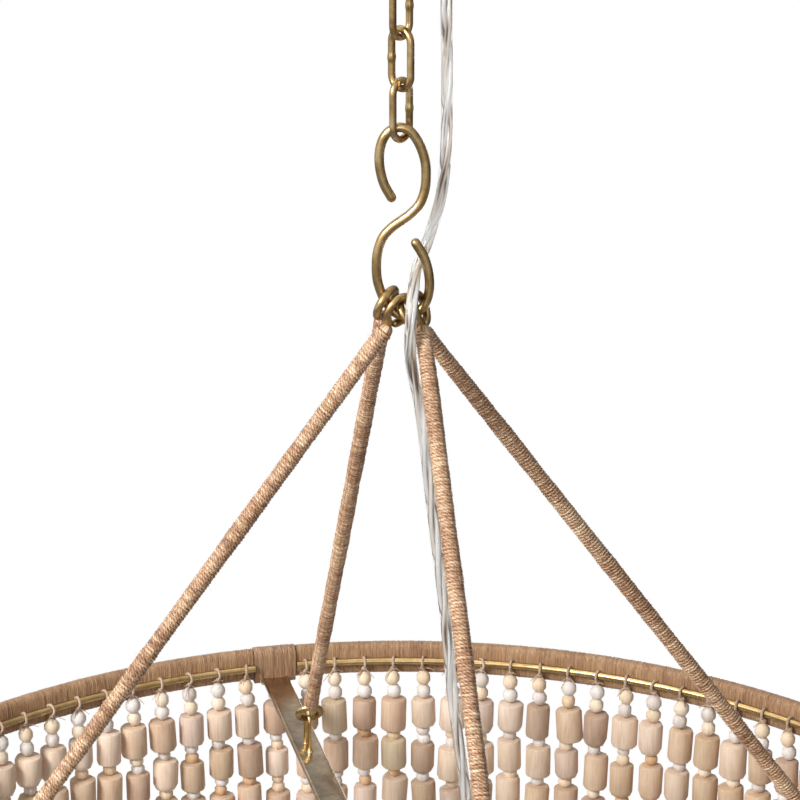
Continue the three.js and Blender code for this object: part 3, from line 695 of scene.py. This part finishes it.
def stray_fibres(roots, outward, sideways, rng, length):
    """Hairs that stand off the twine: root + outward a t + sideways b t^2, three sides each,
    thinner towards the tip."""
    count = len(roots)
    t = np.linspace(0, 1, 5)[None, :, None]
    reach = rng.uniform(*length, count)[:, None, None]
    lift = rng.uniform(0.25, 0.75, count)[:, None, None]
    sway = rng.normal(0, 1, (count, 1, 3)) * 0.45
    paths = (roots[:, None] + outward[:, None] * lift * reach * t
             + (sideways[:, None] + sway) * reach * t**2)
    heading = unit(np.gradient(paths, axis=1))
    first = unit(np.cross(heading, outward[:, None] + 0.3))
    second = np.cross(heading, first)
    a = round_angles(3)[:, None]
    width = 0.06 * (1 - 0.75 * t)[..., None]
    rings = paths[:, :, None] + width * (np.cos(a) * first[:, :, None] + np.sin(a) * second[:, :, None])
    return as_one(rings, grid_faces(5, 3, False), grid_uv(np.arange(5), 3, False))


# %% Wound rods
rod_pitch, twine_foot, twine_height = 1.95, 4.02, 0.62
rows_per_turn, rod_columns, hairs_per_rod = 8, 16, 320
for rod in rods:
    up, n = rod["up"], rod["foot_side"]
    b = np.cross(up, n)
    low = rod["foot"] + up * (eye_drop(low_eye_radius) + 0.3) + hub
    high = rod["head"] - up * (eye_drop(high_eye_radius) + 0.3) + hub
    length = np.linalg.norm(high - low)
    s = np.linspace(1.2, length - 1.2, int(length / rod_pitch * rows_per_turn))
    turns = s[:, None] / rod_pitch + np.arange(rod_columns) / rod_columns
    swell = sum(0.35 * np.exp(-(((from_end - 4) / 2.5) ** 2)) for from_end in (s, length - s))
    slow = 0.12 * np.sin(s / 17 + rod["angle"]) + 0.08 * np.sin(s / 7.3)
    radius = twine_foot + (swell + slow)[:, None] + twine_height * ridge(turns, fibre_rng, 0.3)
    taper = np.sqrt(np.clip(np.minimum(s, length - s) / 2.6, 0, 1))
    radius = radius * (0.75 + 0.25 * taper)[:, None]
    sleeve = wire(low + up * s[:, None], radius, n, rod_columns, turns=s / rod_pitch)
    hair_s = fibre_rng.uniform(3, length - 3, hairs_per_rod)[:, None]
    hair_a = fibre_rng.uniform(0, 2 * np.pi, hairs_per_rod)[:, None]
    outward = np.cos(hair_a) * n + np.sin(hair_a) * b
    round_way = -np.sin(hair_a) * n + np.cos(hair_a) * b
    hairs = stray_fibres(low + up * hair_s + outward * 4.0, outward, round_way, fibre_rng, (1.2, 3.0))
    make_piece(f"rod_winding_{rod['name']}", together([sleeve, hairs]), rod_twine, "drum",
               [f"rod_wrap_{rod['name']}"], sharp=80)
print("rod winding", round(length), "mm long,", round(length / rod_pitch), "turns")

# %% [markdown]
# ## Upright eyes on the cross
# The rod's lower eye hooks into a wire arch that stands on the flat bar. The legs go through
# the bar and are peened over, which leaves a small dome at each foot.

# %% Arches
bar_top, bar_bottom = -377.7, -381.7
bar_lip = 0.8
arch_bow, arch_wire, eye_to_arch = 7.0, 1.5, 10.45
slope = np.arctan2(foot_depth, foot_radius)
arch_out, arch_height = foot_radius + eye_to_arch * np.cos(slope), -foot_depth - eye_to_arch * np.sin(slope)
dome = arc_points(1, 0, np.pi / 2, 6) * [2.3, 1.3]

for rod in rods:
    out = np.array([np.cos(rod["angle"]), np.sin(rod["angle"]), 0])
    legs = np.linspace(bar_bottom - 1.2, arch_height, 12)[:-1] - arch_height
    bow = arc_points(arch_bow, 0, np.pi, 40)
    flat = np.vstack([np.c_[np.full(11, arch_bow), legs], bow, np.c_[np.full(11, -arch_bow), legs[::-1]]])
    path = out * (arch_out + flat[:, :1]) + np.array([0, 0, 1]) * (arch_height + flat[:, 1:])
    shells = [wire(path + hub, arch_wire, rod["foot_side"], 12)]
    for leg in (-arch_bow, arch_bow):
        foot = out * (arch_out + leg) + hub
        head = turned(np.vstack([[[0, 0]], dome]), 14)
        under = turned(np.vstack([dome[::-1] * [1, -1], [[0, 0]]]), 14)
        shells.append(moved(head, foot + [0, 0, bar_top - bar_lip]))
        shells.append(moved(under, foot + [0, 0, bar_bottom + bar_lip]))
    make_piece(f"arch_{rod['name']}", together(shells), wire_brass, "drum", [f"bar_staple_{rod['name']}"])
print("arches stand", round(arch_height + arch_bow + arch_wire - bar_top, 1), "mm above the bars")

# %% [markdown]
# ## Cross bars
# Two flat brass bars with rolled edges cross in the middle, where each is cut to half its
# thickness. The section is a box with round corners whose faces lie a little below its edges.
# It is carried along the bar, and its height changes where the lap begins.

# %% Bars
rim_half = 11.7
rim_middle = -357 - rim_half
rim_radius = 401.6
bar_reach = rim_radius + 2
lap = 9.8


def bar_section(low, high, half_width=9.5, corner=1.6, lip=0.3):
    """A box with round corners and faces sunk by lip between them, as pairs (height, sideways)."""
    corner = min(corner, (high - low) / 2 - 0.05)
    quarter = arc_points(corner, 0, np.pi / 2, 5)
    h, w = high - corner, half_width - corner
    top = [[high - lip, 2 - w], [high - lip, w - 2]]
    bottom = [[low + lip, w - 2], [low + lip, 2 - w]]
    return np.vstack([quarter + [h, w], (quarter[::-1] * [-1, 1]) + [low + corner, w], bottom,
                      (quarter * [-1, -1]) + [low + corner, -w], (quarter[::-1] * [1, -1]) + [h, -w],
                      top])


s = np.r_[np.linspace(-bar_reach, -lap, 30), np.linspace(0.01 - lap, lap - 0.01, 6),
          np.linspace(lap, bar_reach, 30)]
in_lap = (np.abs(s) < lap)[:, None, None]
for k, (name, lapped) in enumerate((("side", (0.15, 2)), ("depth", (-2, -0.15)))):
    section = np.where(in_lap, bar_section(*lapped), bar_section(-2, 2, lip=bar_lip))
    angle = cross_turn + k * np.pi / 2
    out = np.array([np.cos(angle), np.sin(angle), 0])
    path = out * s[:, None] + hub + [0, 0, (bar_top + bar_bottom) / 2]
    make_piece(f"bar_{name}", carried(path, section, (0, 0, 1), turns=s / 10), bar_brass, "drum",
               [f"cross_bar_{name}"], sharp=30)
print("bars", 2 * bar_reach, "mm long")

# %% [markdown]
# ## Wound rim
# The rim is a flat steel hoop under a close winding of fine twine, four hundred turns in each
# quarter. The section is a rounded box, a superellipse, and each turn pushes it out a little.
# A broader winding, the cuff, covers each joint of the hoop with a bar.

# %% Winding round part of a circle


def signed_power(values, power):
    """The size of each value raised to a power, with the value's own sign."""
    return np.sign(values) * np.abs(values) ** power


def rounded_box(half_sizes, power, columns):
    """A superellipse: half sizes times the signed power of the cosine and the sine."""
    a = round_angles(columns)
    return np.asarray(half_sizes) * signed_power(np.c_[np.cos(a), np.sin(a)], power)


def wound_arc(start, stop, radius, height, half_sizes, pitch, rows_per_turn, columns, lift, slant=0.0):
    """A rounded box wound with twine, carried round part of a circle. Each point moves outwards
    by lift times the ridge of its turn, and slant shifts the turns from top to bottom."""
    a = np.linspace(start, stop, int(radius * (stop - start) / pitch * rows_per_turn))
    box = rounded_box(half_sizes, 0.62, columns)
    out = unit(box / np.square(half_sizes))
    along = (a - start) * radius / pitch
    turns = along[:, None] + slant * box[None, :, 0] / pitch
    push = lift * (ridge(turns - turns.min(), fibre_rng, 0.4) - 1)
    section = box[None] + push[..., None] * out[None]
    shell = carried(level_circle(radius, a, height) + hub, section, (0, 0, 1), turns=along)
    return shell, box, out


# %% Rim and cuffs
cuff_half = 15
rim_cover = np.arcsin((cuff_half + 0.8) / rim_radius)
cuff_reach = np.arcsin(cuff_half / rim_radius)
rim_columns, hairs_per_quarter = 20, 420
vertical = np.array([0, 0, 1.0])
for k, rod in enumerate(rods):
    start, stop = rod["angle"] + rim_cover, rod["angle"] + np.pi / 2 - rim_cover
    shell, box, out = wound_arc(start, stop, rim_radius, rim_middle, half_sizes=(rim_half, 5.0),
                                pitch=1.5, rows_per_turn=4, columns=rim_columns, lift=0.4)
    a = fibre_rng.uniform(start, stop, hairs_per_quarter)
    column = fibre_rng.integers(0, rim_columns, hairs_per_quarter)
    radial = level_circle(1, a, 0)
    roots = radial * (rim_radius + box[column, 1:]) + vertical * (rim_middle + box[column, :1]) + hub
    outward = radial * out[column, 1:] + vertical * out[column, :1]
    along_rim = np.cross(vertical, radial)
    hairs = stray_fibres(roots - outward * 0.3, outward, along_rim, fibre_rng, (1.0, 2.6))
    make_piece(f"rim_winding_{k + 1}", together([shell, hairs]), rim_twine, "drum",
               [f"rim_wrap_{k + 1}"], sharp=80)
    cuff, _, _ = wound_arc(rod["angle"] - cuff_reach, rod["angle"] + cuff_reach, 401.3, -369.7,
                           half_sizes=(13.5, 6.3), pitch=1.9, rows_per_turn=6, columns=28, lift=0.5,
                           slant=-0.16)
    make_piece(f"cuff_{rod['name']}", cuff, cuff_twine, "drum", [f"rim_cuff_{rod['name']}"], sharp=80)
print("rim winding rows", len(shell[0]) // rim_columns)

# %% [markdown]
# ## Beads
# Fourteen strands hang in each eighth of the drum. One round bead and two barrels are worked
# out once and set out hundreds of times, so each has only about fifty faces. The beads differ
# in size, tone and tilt, as turned beads do.

# %% Bead forms and tones
rail_radius, rail_height = 393.5, -369.0
strand_pitch, strand_lean = np.radians([3.1, 2.2])
strand_length = 191.0
strands_per_eighth = 14
bead_rng = np.random.default_rng(7)

around = 10
ball = turned(arc_points(1, -np.pi / 2, np.pi / 2, 6), around)
bead_end = [[0.92, 0.93], [0.66, 1], [0, 0.93]]
barrel = turned([[0, -0.95], [0.6, -1], [0.9, -0.93], [1, -0.8], [1, 0.8], *bead_end], around)
tapered = turned([[0, -0.95], [0.56, -1], [0.78, -0.9], [0.97, -0.6], [1, 0.8], *bead_end], around)
print("faces of a round bead", len(ball[1]), "and of a barrel", len(barrel[1]))


def tones(*colours):
    """Linear colours, one to a row."""
    return np.array([screen_colour(*colour) for colour in colours])


barrel_tones = tones(
    (232, 208, 184), (222, 194, 166), (210, 180, 154), (226, 202, 184), (202, 172, 148),
    (214, 186, 156), (236, 214, 194), (196, 168, 146), (220, 199, 168))
barrel_shares = [0.15, 0.15, 0.14, 0.14, 0.1, 0.12, 0.1, 0.06, 0.04]
white_tones = tones((232, 224, 218), (226, 217, 210), (238, 232, 227))
orange_tone = tones((222, 184, 142))
cream_tones = tones((244, 228, 206), (242, 222, 194), (238, 214, 182))

# %% [markdown]
# ## Strands
# A strand is a twine loop over the rail, a knot, two round beads, then five turned barrels
# with one or two round beads between them, and a loop round the lower ring. Where the rail
# stops, one more strand is tied round each bar, so that the curtain has no gap. It hangs a
# little farther out, under the cuff.

# %% Strand helpers
ROUND, BARREL, TAPERED = 0, 1, 2


def strand_beads(rng):
    """The beads of one strand from the top: kind, depth of its middle, half length, radius and
    colour. The spaces are drawn first, then scaled to the strand."""
    lengths = rng.uniform(21.5, 25.5, 5)
    doubles = rng.random(4) < 0.28
    gaps = np.where(doubles, 13.6, 6.6) + rng.normal(0, 0.5, 4)
    scale = 155 / (lengths.sum() + gaps.sum())
    lengths, gaps = lengths * scale, gaps * scale
    tops = 28 + np.concatenate([[0], np.cumsum(lengths[:-1] + gaps)])
    rows = []
    flip = rng.random() < 0.5
    for depth, radius in ((12.8, 5.5), (22.6, 5.3)):
        pair_tones = white_tones if flip else cream_tones
        rows.append([ROUND, depth, radius * 1.05, radius * rng.uniform(0.95, 1.06),
                     *rng.choice(pair_tones)])
        flip = not flip
    for i in range(5):
        tone = rng.choice(barrel_tones, p=barrel_shares) * rng.uniform(0.9, 1.06)
        kind = BARREL if rng.random() < 0.6 else TAPERED
        rows.append([kind, tops[i] + lengths[i] / 2, lengths[i] / 2, rng.uniform(8.5, 9.6), *tone])
        if i < 4:
            start, stop = tops[i] + lengths[i], tops[i + 1]
            count = 2 if doubles[i] else 1
            for k in range(count):
                middle = start + (stop - start) * (k + 0.5) / count
                spacer = [white_tones, cream_tones, orange_tone][rng.choice(3, p=[0.55, 0.37, 0.08])]
                rows.append([ROUND, middle, rng.uniform(4.4, 4.9), rng.uniform(4.7, 5.3),
                             *rng.choice(spacer)])
    rows.append([ROUND, 186.5, 4.2, 5.0, *rng.choice(cream_tones)])
    return np.array(rows)


def on_strand(points, angle):
    """From a strand's own axes, with the rail at the origin, to the drum: lean in about Y,
    move out to the rail, then turn about the drum's axis."""
    c, s = np.cos(strand_lean), np.sin(strand_lean)
    leant = points @ np.array([[c, 0, -s], [0, 1, 0], [s, 0, c]]) + [rail_radius, 0, rail_height]
    c, s = np.cos(angle), np.sin(angle)
    return leant @ np.array([[c, s, 0], [-s, c, 0], [0, 0, 1]]) + hub


def set_out(form, beads, rng):
    """The form scaled to each bead, tilted and shifted a little: an array for each bead."""
    points, faces, uv = form
    count = len(beads)
    sized = points[None] * np.stack([beads[:, 3], beads[:, 3], beads[:, 2]], axis=1)[:, None]
    lean_x, lean_y = rng.normal(0, 0.035, (2, count, 1))
    spin = rng.uniform(0, 2 * np.pi, (count, 1))
    x = sized[..., 0] * np.cos(spin) - sized[..., 1] * np.sin(spin)
    y = sized[..., 0] * np.sin(spin) + sized[..., 1] * np.cos(spin)
    z = sized[..., 2]
    placed = np.stack([x + lean_x * z, y + lean_y * z, z - lean_x * x - lean_y * y], axis=-1)
    shift = np.stack([rng.normal(0, 0.35, count), rng.normal(0, 0.45, count), -beads[:, 1]], axis=1)
    return as_one(placed + shift[:, None], faces, uv)


def bar_tie():
    """The twine of a strand that hangs on a bar: a ring round the bar, as a rounded box, and
    the thread from the bar down to the first bead."""
    a = round_angles(28)
    c, s = np.cos(a), np.sin(a)
    ring = np.c_[0.2 * s, 10.6 * signed_power(c, 0.3), -10.7 + 3.1 * signed_power(s, 0.6)]
    thread = np.array([[0, 0, -13.6], [0.1, 0, -60], [0, 0, -strand_length + 0.6]])
    knot = (ball[0] * [1.9, 2.4, 1.6] - [0, 0, 14.6], ball[1], ball[2])
    return together([wire(ring, 0.8, (1, 0, 0), 6, closed=True),
                     wire(thread, 0.75, (1, 0, 0), 5, ends="flat"), knot])


def strand_string(rng):
    """The twine of one strand: a loop over the rail, the thread, a knot with three tails, and
    a loop round the lower ring."""
    a = round_angles(14)
    c, s = np.cos(a), np.sin(a)
    tilt = rng.normal(0, 0.25)
    loop = np.c_[3.6 * c, 3.6 * c * tilt, 3.6 * s - 0.4]
    low = np.c_[5.9 * c, 5.9 * c * tilt * 0.3, 5.9 * s - strand_length - 4.6]
    square = (tilt, -1, 0)
    thread = np.array([[0, 0, -3.4], [0.1, 0, -60], [0, 0.1, -120], [0, 0, -strand_length + 0.6]])
    knot = ball[0] * [2.1, 2.3, 1.8] * rng.uniform(0.85, 1.15) + [rng.normal(0, 0.3), 0, -5.2]
    shells = [wire(loop, 1.05, square, 6, closed=True), wire(low, 0.8, square, 5, closed=True),
              wire(thread, 0.75, (1, 0, 0), 5, ends="flat"), (knot, ball[1], ball[2])]
    for side in (-1, 1, 1):
        t = np.linspace(0, 1, 6)[:, None]
        way = np.array([-rng.uniform(0.2, 0.8), side * rng.uniform(0.5, 1.0), rng.uniform(-0.5, 0.5)])
        reach = rng.uniform(3.5, 9.5)
        tail = np.array([0, 0, -5.2]) + reach * way * t + [0, 0, -1] * (reach * 0.35 * t**2)
        shells.append(wire(tail, 0.55 * (1 - 0.5 * t[:, 0]), (0, 0.3, 1), 4, ends="flat"))
    return together(shells)


# %% Strands, strings and rails
rail_cover = np.arcsin((cuff_half + 0.3) / rail_radius)
under_cuff = 3.2
bead_total = 0
for number in range(1, 9):
    rod, first_half = rods[(number - 1) // 2], number % 2 == 1
    from_middle = (-0.5 if first_half else 0.5) * strands_per_eighth
    middle = rod["angle"] + np.pi / 4 + from_middle * strand_pitch
    parts, tints, strings = [], [], []
    for i in range(-1 if first_half else 0, strands_per_eighth):
        on_bar = i < 0
        outwards = [under_cuff if on_bar else 0, 0, 0]
        angle = rod["angle"] if on_bar else middle + (i - (strands_per_eighth - 1) / 2) * strand_pitch
        rows = strand_beads(bead_rng)[1 if on_bar else 0:]
        for kind, form in ((ROUND, ball), (BARREL, barrel), (TAPERED, tapered)):
            chosen = rows[rows[:, 0] == kind]
            points, faces, uv = set_out(form, chosen, bead_rng)
            parts.append((on_strand(points + outwards, angle), faces, uv))
            tints.append(np.repeat(chosen[:, 4:], len(form[0]), axis=0))
        points, faces, uv = bar_tie() if on_bar else strand_string(bead_rng)
        strings.append((on_strand(points + outwards, angle), faces, uv))
        bead_total += len(rows)
    node = [f"bead_strands_{number}"]
    make_piece(f"beads_{number}", together(parts), bead_wood, "drum", node,
               tint=np.clip(np.vstack(tints), 0, 1), sharp=42)
    make_piece(f"strings_{number}", together(strings), string_twine, "drum", node, sharp=80)
    reach = [rail_cover, np.pi / 4] if first_half else [np.pi / 4, np.pi / 2 - rail_cover]
    path = level_circle(rail_radius, np.linspace(*(rod["angle"] + np.array(reach)), 60), rail_height) + hub
    make_piece(f"rail_{number}", wire(path, 2.5, (0, 0, 1), 14, ends="flat"), rail_brass, "drum", node,
               sharp=60)
print("beads", bead_total)

# %% [markdown]
# ## Lower ring
# The strands end on a ring that is wound like the rods, which keeps the drum round.

# %% Lower ring
low_radius = rail_radius - strand_length * np.sin(strand_lean)
low_height = rail_height - strand_length * np.cos(strand_lean) - 5
ring_pitch, ring_columns = 2.5, 12
turn_count = int(2 * np.pi * low_radius / ring_pitch)
a = np.linspace(0, 2 * np.pi, turn_count * 4, endpoint=False)
along = a / (2 * np.pi) * turn_count
radius = 4.5 + 0.5 * ridge(along[:, None] + np.arange(ring_columns) / ring_columns, fibre_rng, 0.3)
ring = wire(level_circle(low_radius, a, low_height) + hub, radius, (0, 0, 1), ring_columns, closed=True,
            turns=along)
make_piece("lower_ring_winding", ring, ring_twine, "drum", ["lower_ring"], sharp=80)
print("lower ring", round(2 * low_radius), "mm across,", turn_count, "turns")

# %% [markdown]
# ## Lamp cluster
# Under the crossing hangs a small turned body that carries four lamp holders, with a flat cap
# above the bars and a finial nut below. All are turned forms, with a soft edge where a lathe
# tool would break the corner. A profile is a list of pairs (radius, height), from its foot up.

# %% Cap, cluster, finial and gland
cap_seat, cluster_top = bar_top + 0.3, bar_bottom - 0.3
turned_parts = {
    "cap_dish": ("lamp_cap", (0, 0, cap_seat), 64, [
        [5.3, 0], [43.2, 0], [44, 0.6], [44, 2.2], [43.4, 3.4], [41.8, 4.6], [34, 6.6], [22, 7.8],
        [15.4, 8.1], [14.2, 8.8], [13.8, 11], [13.2, 14.2], [12, 15.7], [10.6, 16], [5.3, 16]]),
    "cluster_body": ("lamp_cluster", (0, 0, cluster_top), 48, [
        [5.3, -32], [18.6, -32], [20.4, -31.4], [22.8, -29.6], [23.8, -27], [24, -24], [24, -8],
        [23.8, -5], [22.8, -2.4], [20.4, -0.6], [18.6, 0], [5.3, 0]]),
    "finial": ("finial_nut", (0, 0, cluster_top - 32.3), 40, [
        [0, -24], [2.6, -23.8], [4.6, -22.4], [5.2, -20.6], [4.8, -18.8], [4.4, -17.6], [5.6, -16.2],
        [8.8, -13], [11, -9], [12, -5], [12, -1], [11.4, 0], [5.3, 0], [5.3, -12], [0, -12]]),
    "gland": ("flex_gland", (32, -10, cap_seat + 8.3), 28, [
        [0, 0], [6.1, 0], [6.5, 0.5], [6.5, 3], [5.9, 3.6], [5.9, 4.6], [6.5, 5.2], [6.5, 11.4],
        [6.1, 12.4], [5.2, 17.6], [4.6, 19.4], [4, 20], [0, 20]]),
}
for name, (node, at, sides, profile) in turned_parts.items():
    make_piece(name, moved(turned(profile, sides), hub + at), aged_brass, "drum", [node])
print("turned brass parts", len(turned_parts))

# %% [markdown]
# ## Holders and bulbs
# Each holder is a smooth cup on its side, and each bulb a screw base under an opal globe. Both
# are turned about the same axis, which is then laid level and aimed between two bars.

# %% Holders and bulbs
screw_start, globe_radius, globe_top = 36.6, 30, 128.3
holder = turned([
    [0, 24.3], [10.2, 24.3], [12.6, 25.6], [15.6, 31], [16.7, 34], [17, 37], [17, 68.6], [16.6, 69.8],
    [15.8, 70.3], [14.2, 70.3], [13.6, 69.6], [13.6, 36.3], [0, 36.3]], 40)

thread = np.linspace(0, 1, 60)
threads = np.c_[12.2 + 0.5 * np.sin(2 * np.pi * 6 * thread), 5 + 20 * thread]
tip = [[0, 0], [4, 0.2], [5, 1.2], [9, 3.6], [12, 5]]
screw = np.vstack([tip, threads, [[12.6, 26], [12.8, 29], [0, 29]]]) + [0, screw_start]

globe = arc_points(globe_radius, -np.pi / 4.6, np.pi / 2, 26) + [0, globe_top - globe_radius]
throat = np.array([[13.6, 0, 36], [16, 0, 42], [20.4, 0, 49]]) + [0, 0, screw_start]
shoulder = curve_through([*throat, [globe[0, 0], 0, globe[0, 1]]], 4)[1:-1, [0, 2]]
collar = np.array([[0, 28], [12.8, 28], [13, 31], [13.6, 36]]) + [0, screw_start]
envelope = np.vstack([collar, shoulder, globe])
envelope[-1, 0] = 0

at = hub + [0, 0, cluster_top - 16]
for k, rod in enumerate(rods):
    angle = rod["angle"] + np.pi / 4
    bulb = (f"bulb_body_{k + 1}", [f"bulb_{k + 1}"])
    make_piece(f"holder_{k + 1}", aimed(holder, angle, at), cream_plastic, "drum", [f"lamp_holder_{k + 1}"])
    make_piece(f"bulb_base_{k + 1}", aimed(turned(screw, 36), angle, at), steel, *bulb)
    make_piece(f"bulb_glass_{k + 1}", aimed(turned(envelope, 40), angle, at), opal_glass, *bulb)
print("bulbs reach", globe_top, "mm out from the middle")

# %% [markdown]
# ## Flex
# The flex leaves the bushing, hangs beside the chain, passes behind the hook's right arm and
# through its lower bend, and drops in front of the rods' eyes to a gland on the cap.

# %% Flex route
flex_points = np.array([
    [24, 6, 265], [24, 6, 240], [24.3, 6, 205], [23.6, 6, 173], [24.2, 6, 131], [23.6, 6, 88],
    [21.4, 9.2, 67.1], [17.7, 11, 52.2], [13.3, 9.6, 38.8], [8.5, 3.3, 28.5], [6.5, -10.1, 19.7],
    [5.3, -17.3, 9.2], [4.9, -19.8, -5.1], [5.3, -19.7, -16.7], [10.3, -17, -44.6],
    [16.8, -12, -102], [23.8, -9, -161], [29.6, -8, -222], [36.5, -8, -275], [39, -8.5, -305],
    [35.4, -9.5, -328], [32, -10, -343], [32, -10, -348.8],
])
flex_path = evenly(curve_through(flex_points, 10) + hub, 440)
flex_along = distance_along(flex_path)
heading = unit(np.gradient(flex_path, axis=0))
flex_across = unit(np.array([1.0, 0, 0]) - heading[:, :1] * heading)
flex_side = np.cross(heading, flex_across)
print("flex", round(flex_along[-1]), "mm")

# %% [markdown]
# ## Flex stretches
# The flex crosses seven joints, and a piece can bend over only one. So it is seven stretches
# that meet end to end, each with its jacket and its two conductors. For each stretch the body
# at its top and the one at its foot are picked out, each with a point near that end, and for
# the stretch that ends at the hook the hook is put first. These pairs are not used: the
# stretches are attached to no body.

# %% Flex stretches
jacket_radius, core_radius, core_offset, twist_pitch = 3.15, 1.42, 1.2, 66
flex_bodies = ["ceiling_fitting", "link_1", "link_2", "link_3", "link_4", "link_5", "hook", "drum"]
stretch_ends = [flex_path[0, 2], -75, -102, -129, -156, -183, -240, flex_path[-1, 2]]
breaks = [int(np.argmin(np.abs(flex_path[:, 2] - z))) for z in stretch_ends]
cores = {"silver": (silver_strands, 0), "copper": (copper_strands, np.pi)}


def off_middle(rows, radius, angle):
    """Points beside the flex's middle: radius times (across cos angle + side sin angle)."""
    return radius * (np.cos(angle) * flex_across[rows] + np.sin(angle) * flex_side[rows])


for k in range(7):
    rows = slice(breaks[k], breaks[k + 1] + 1)
    turns = flex_along[rows] / 10
    rings = np.stack([flex_path[rows] + off_middle(rows, jacket_radius, a) for a in round_angles(20)], axis=1)
    parts = {"jacket": (shell_from_rows(rings, turns), clear_jacket)}
    for name, (finish, phase) in cores.items():
        twist = flex_along[rows, None] * 2 * np.pi / twist_pitch + phase
        centre = flex_path[rows] + off_middle(rows, core_offset, twist)
        parts[name] = (wire(centre, core_radius, flex_across[rows], 12, ends="flat", turns=turns), finish)
    first, last = flex_path[rows][0] * MM, flex_path[rows][-1] * MM
    start, stop = first + (last - first) * (0.3 if k == 0 else 0.04), first + (last - first) * 0.96
    if k == 6:
        start, stop = np.array([8.5, 3.3, -266.0]) * MM, np.array([8.5, -18.0, -340.0]) * MM
    above, below = (flex_bodies[k], tuple(start)), (flex_bodies[k + 1], tuple(stop))
    if below[0] == "hook":
        above, below = below, above
    for part, (shell, finish) in parts.items():
        piece = make_piece(f"flex_{part}_{k + 1}", shell, finish, None,
                           ["flex"] if part == "jacket" else (), sharp=80)
        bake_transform(piece)
print("stretches", [round(flex_along[b] - flex_along[a]) for a, b in zip(breaks, breaks[1:])], "mm")

# %% [markdown]

# %% [markdown]
# ## Studio
# The photograph was taken against pure white. The world shows white to the camera and through
# glass, and lights the object with a softer tone that is bright towards the upper left and
# dark away from it. Metal sees that tone much stronger, so that the brass has something to
# reflect. A strong lamp stands at the upper left, and three weak ones, in front, above and low
# behind, soften its shadows.

# %% World and floor


def seen_rays(tree):
    """Two switches: 1 for rays from the camera or through glass, and 1 for mirrored rays."""
    rays = put(tree, "LightPath").outputs
    direct = calculate(tree, "MAXIMUM", rays["Is Camera Ray"], rays["Is Transmission Ray"])
    return direct, rays["Is Glossy Ray"]


world = bpy.data.worlds.new("studio")
bpy.context.scene.world = world
world.use_nodes = True
tree = world.node_tree
tree.nodes.clear()
direct, mirrored = seen_rays(tree)
direction = put(tree, "TexCoord").outputs["Generated"]
toward_light = put(tree, "VectorMath", {0: direction, 1: (-0.62, -0.42, 0.66)},
                   operation="DOT_PRODUCT").outputs["Value"]
tone, mirror_tone = (remap(tree, toward_light, -0.75, 0.95, low, high)
                     for low, high in ((0.07, 0.5), (0.06, 1.55)))
soft = put(tree, "Background", {"Strength": mixed(tree, mirrored, tone, mirror_tone)})
white = put(tree, "Background", {"Strength": 1.0, "Color": (1, 1, 1, 1)})
sky = put(tree, "MixShader", {0: direct, 1: soft.outputs[0], 2: white.outputs[0]})
tree.links.new(sky.outputs[0], put(tree, "OutputWorld").inputs["Surface"])

floor_mesh = bpy.data.meshes.new("floor")
floor_mesh.from_pydata([(-12, -12, -4), (12, -12, -4), (12, 12, -4), (-12, 12, -4)], [], [(0, 1, 2, 3)])
floor = bpy.data.objects.new("floor", floor_mesh)
bpy.context.scene.collection.objects.link(floor)
floor_material, tree, shader = new_finish("pale floor", (238, 238, 238), 0.8)
direct, _ = seen_rays(tree)
glow = put(tree, "Emission", {"Color": (1, 1, 1, 1), "Strength": 1.0})
floor_mix = put(tree, "MixShader", {0: direct, 1: shader.outputs[0], 2: glow.outputs[0]})
tree.links.new(floor_mix.outputs[0], tree.nodes["Material Output"].inputs["Surface"])
floor_mesh.materials.append(floor_material)
print("nodes in the world", len(world.node_tree.nodes))

# %% Lamps


def soft_lamp(name, place, size, power):
    """A square lamp of the given size in metres that faces the middle of the light."""
    data = bpy.data.lights.new(name, "AREA")
    data.size, data.energy = size, power
    lamp = bpy.data.objects.new(name, data)
    lamp.location = place
    aim = unit(np.array([0, 0, -0.45]) - np.array(place))
    lamp.rotation_euler = (np.arccos(-aim[2]), 0, np.arctan2(aim[1], aim[0]) - np.pi / 2)
    bpy.context.scene.collection.objects.link(lamp)
    lamp.visible_camera = False


soft_lamp("key", (-1.7, -1.45, 1.05), 1.0, 92)
soft_lamp("front", (-0.2, -2.3, 0.3), 1.0, 7)
soft_lamp("top", (-0.4, 0.6, 1.5), 1.2, 7)
soft_lamp("back", (0.3, 2.3, -1.0), 1.2, 16)
bpy.context.scene.view_settings.view_transform = "Standard"
print("lamps", len(bpy.data.lights))
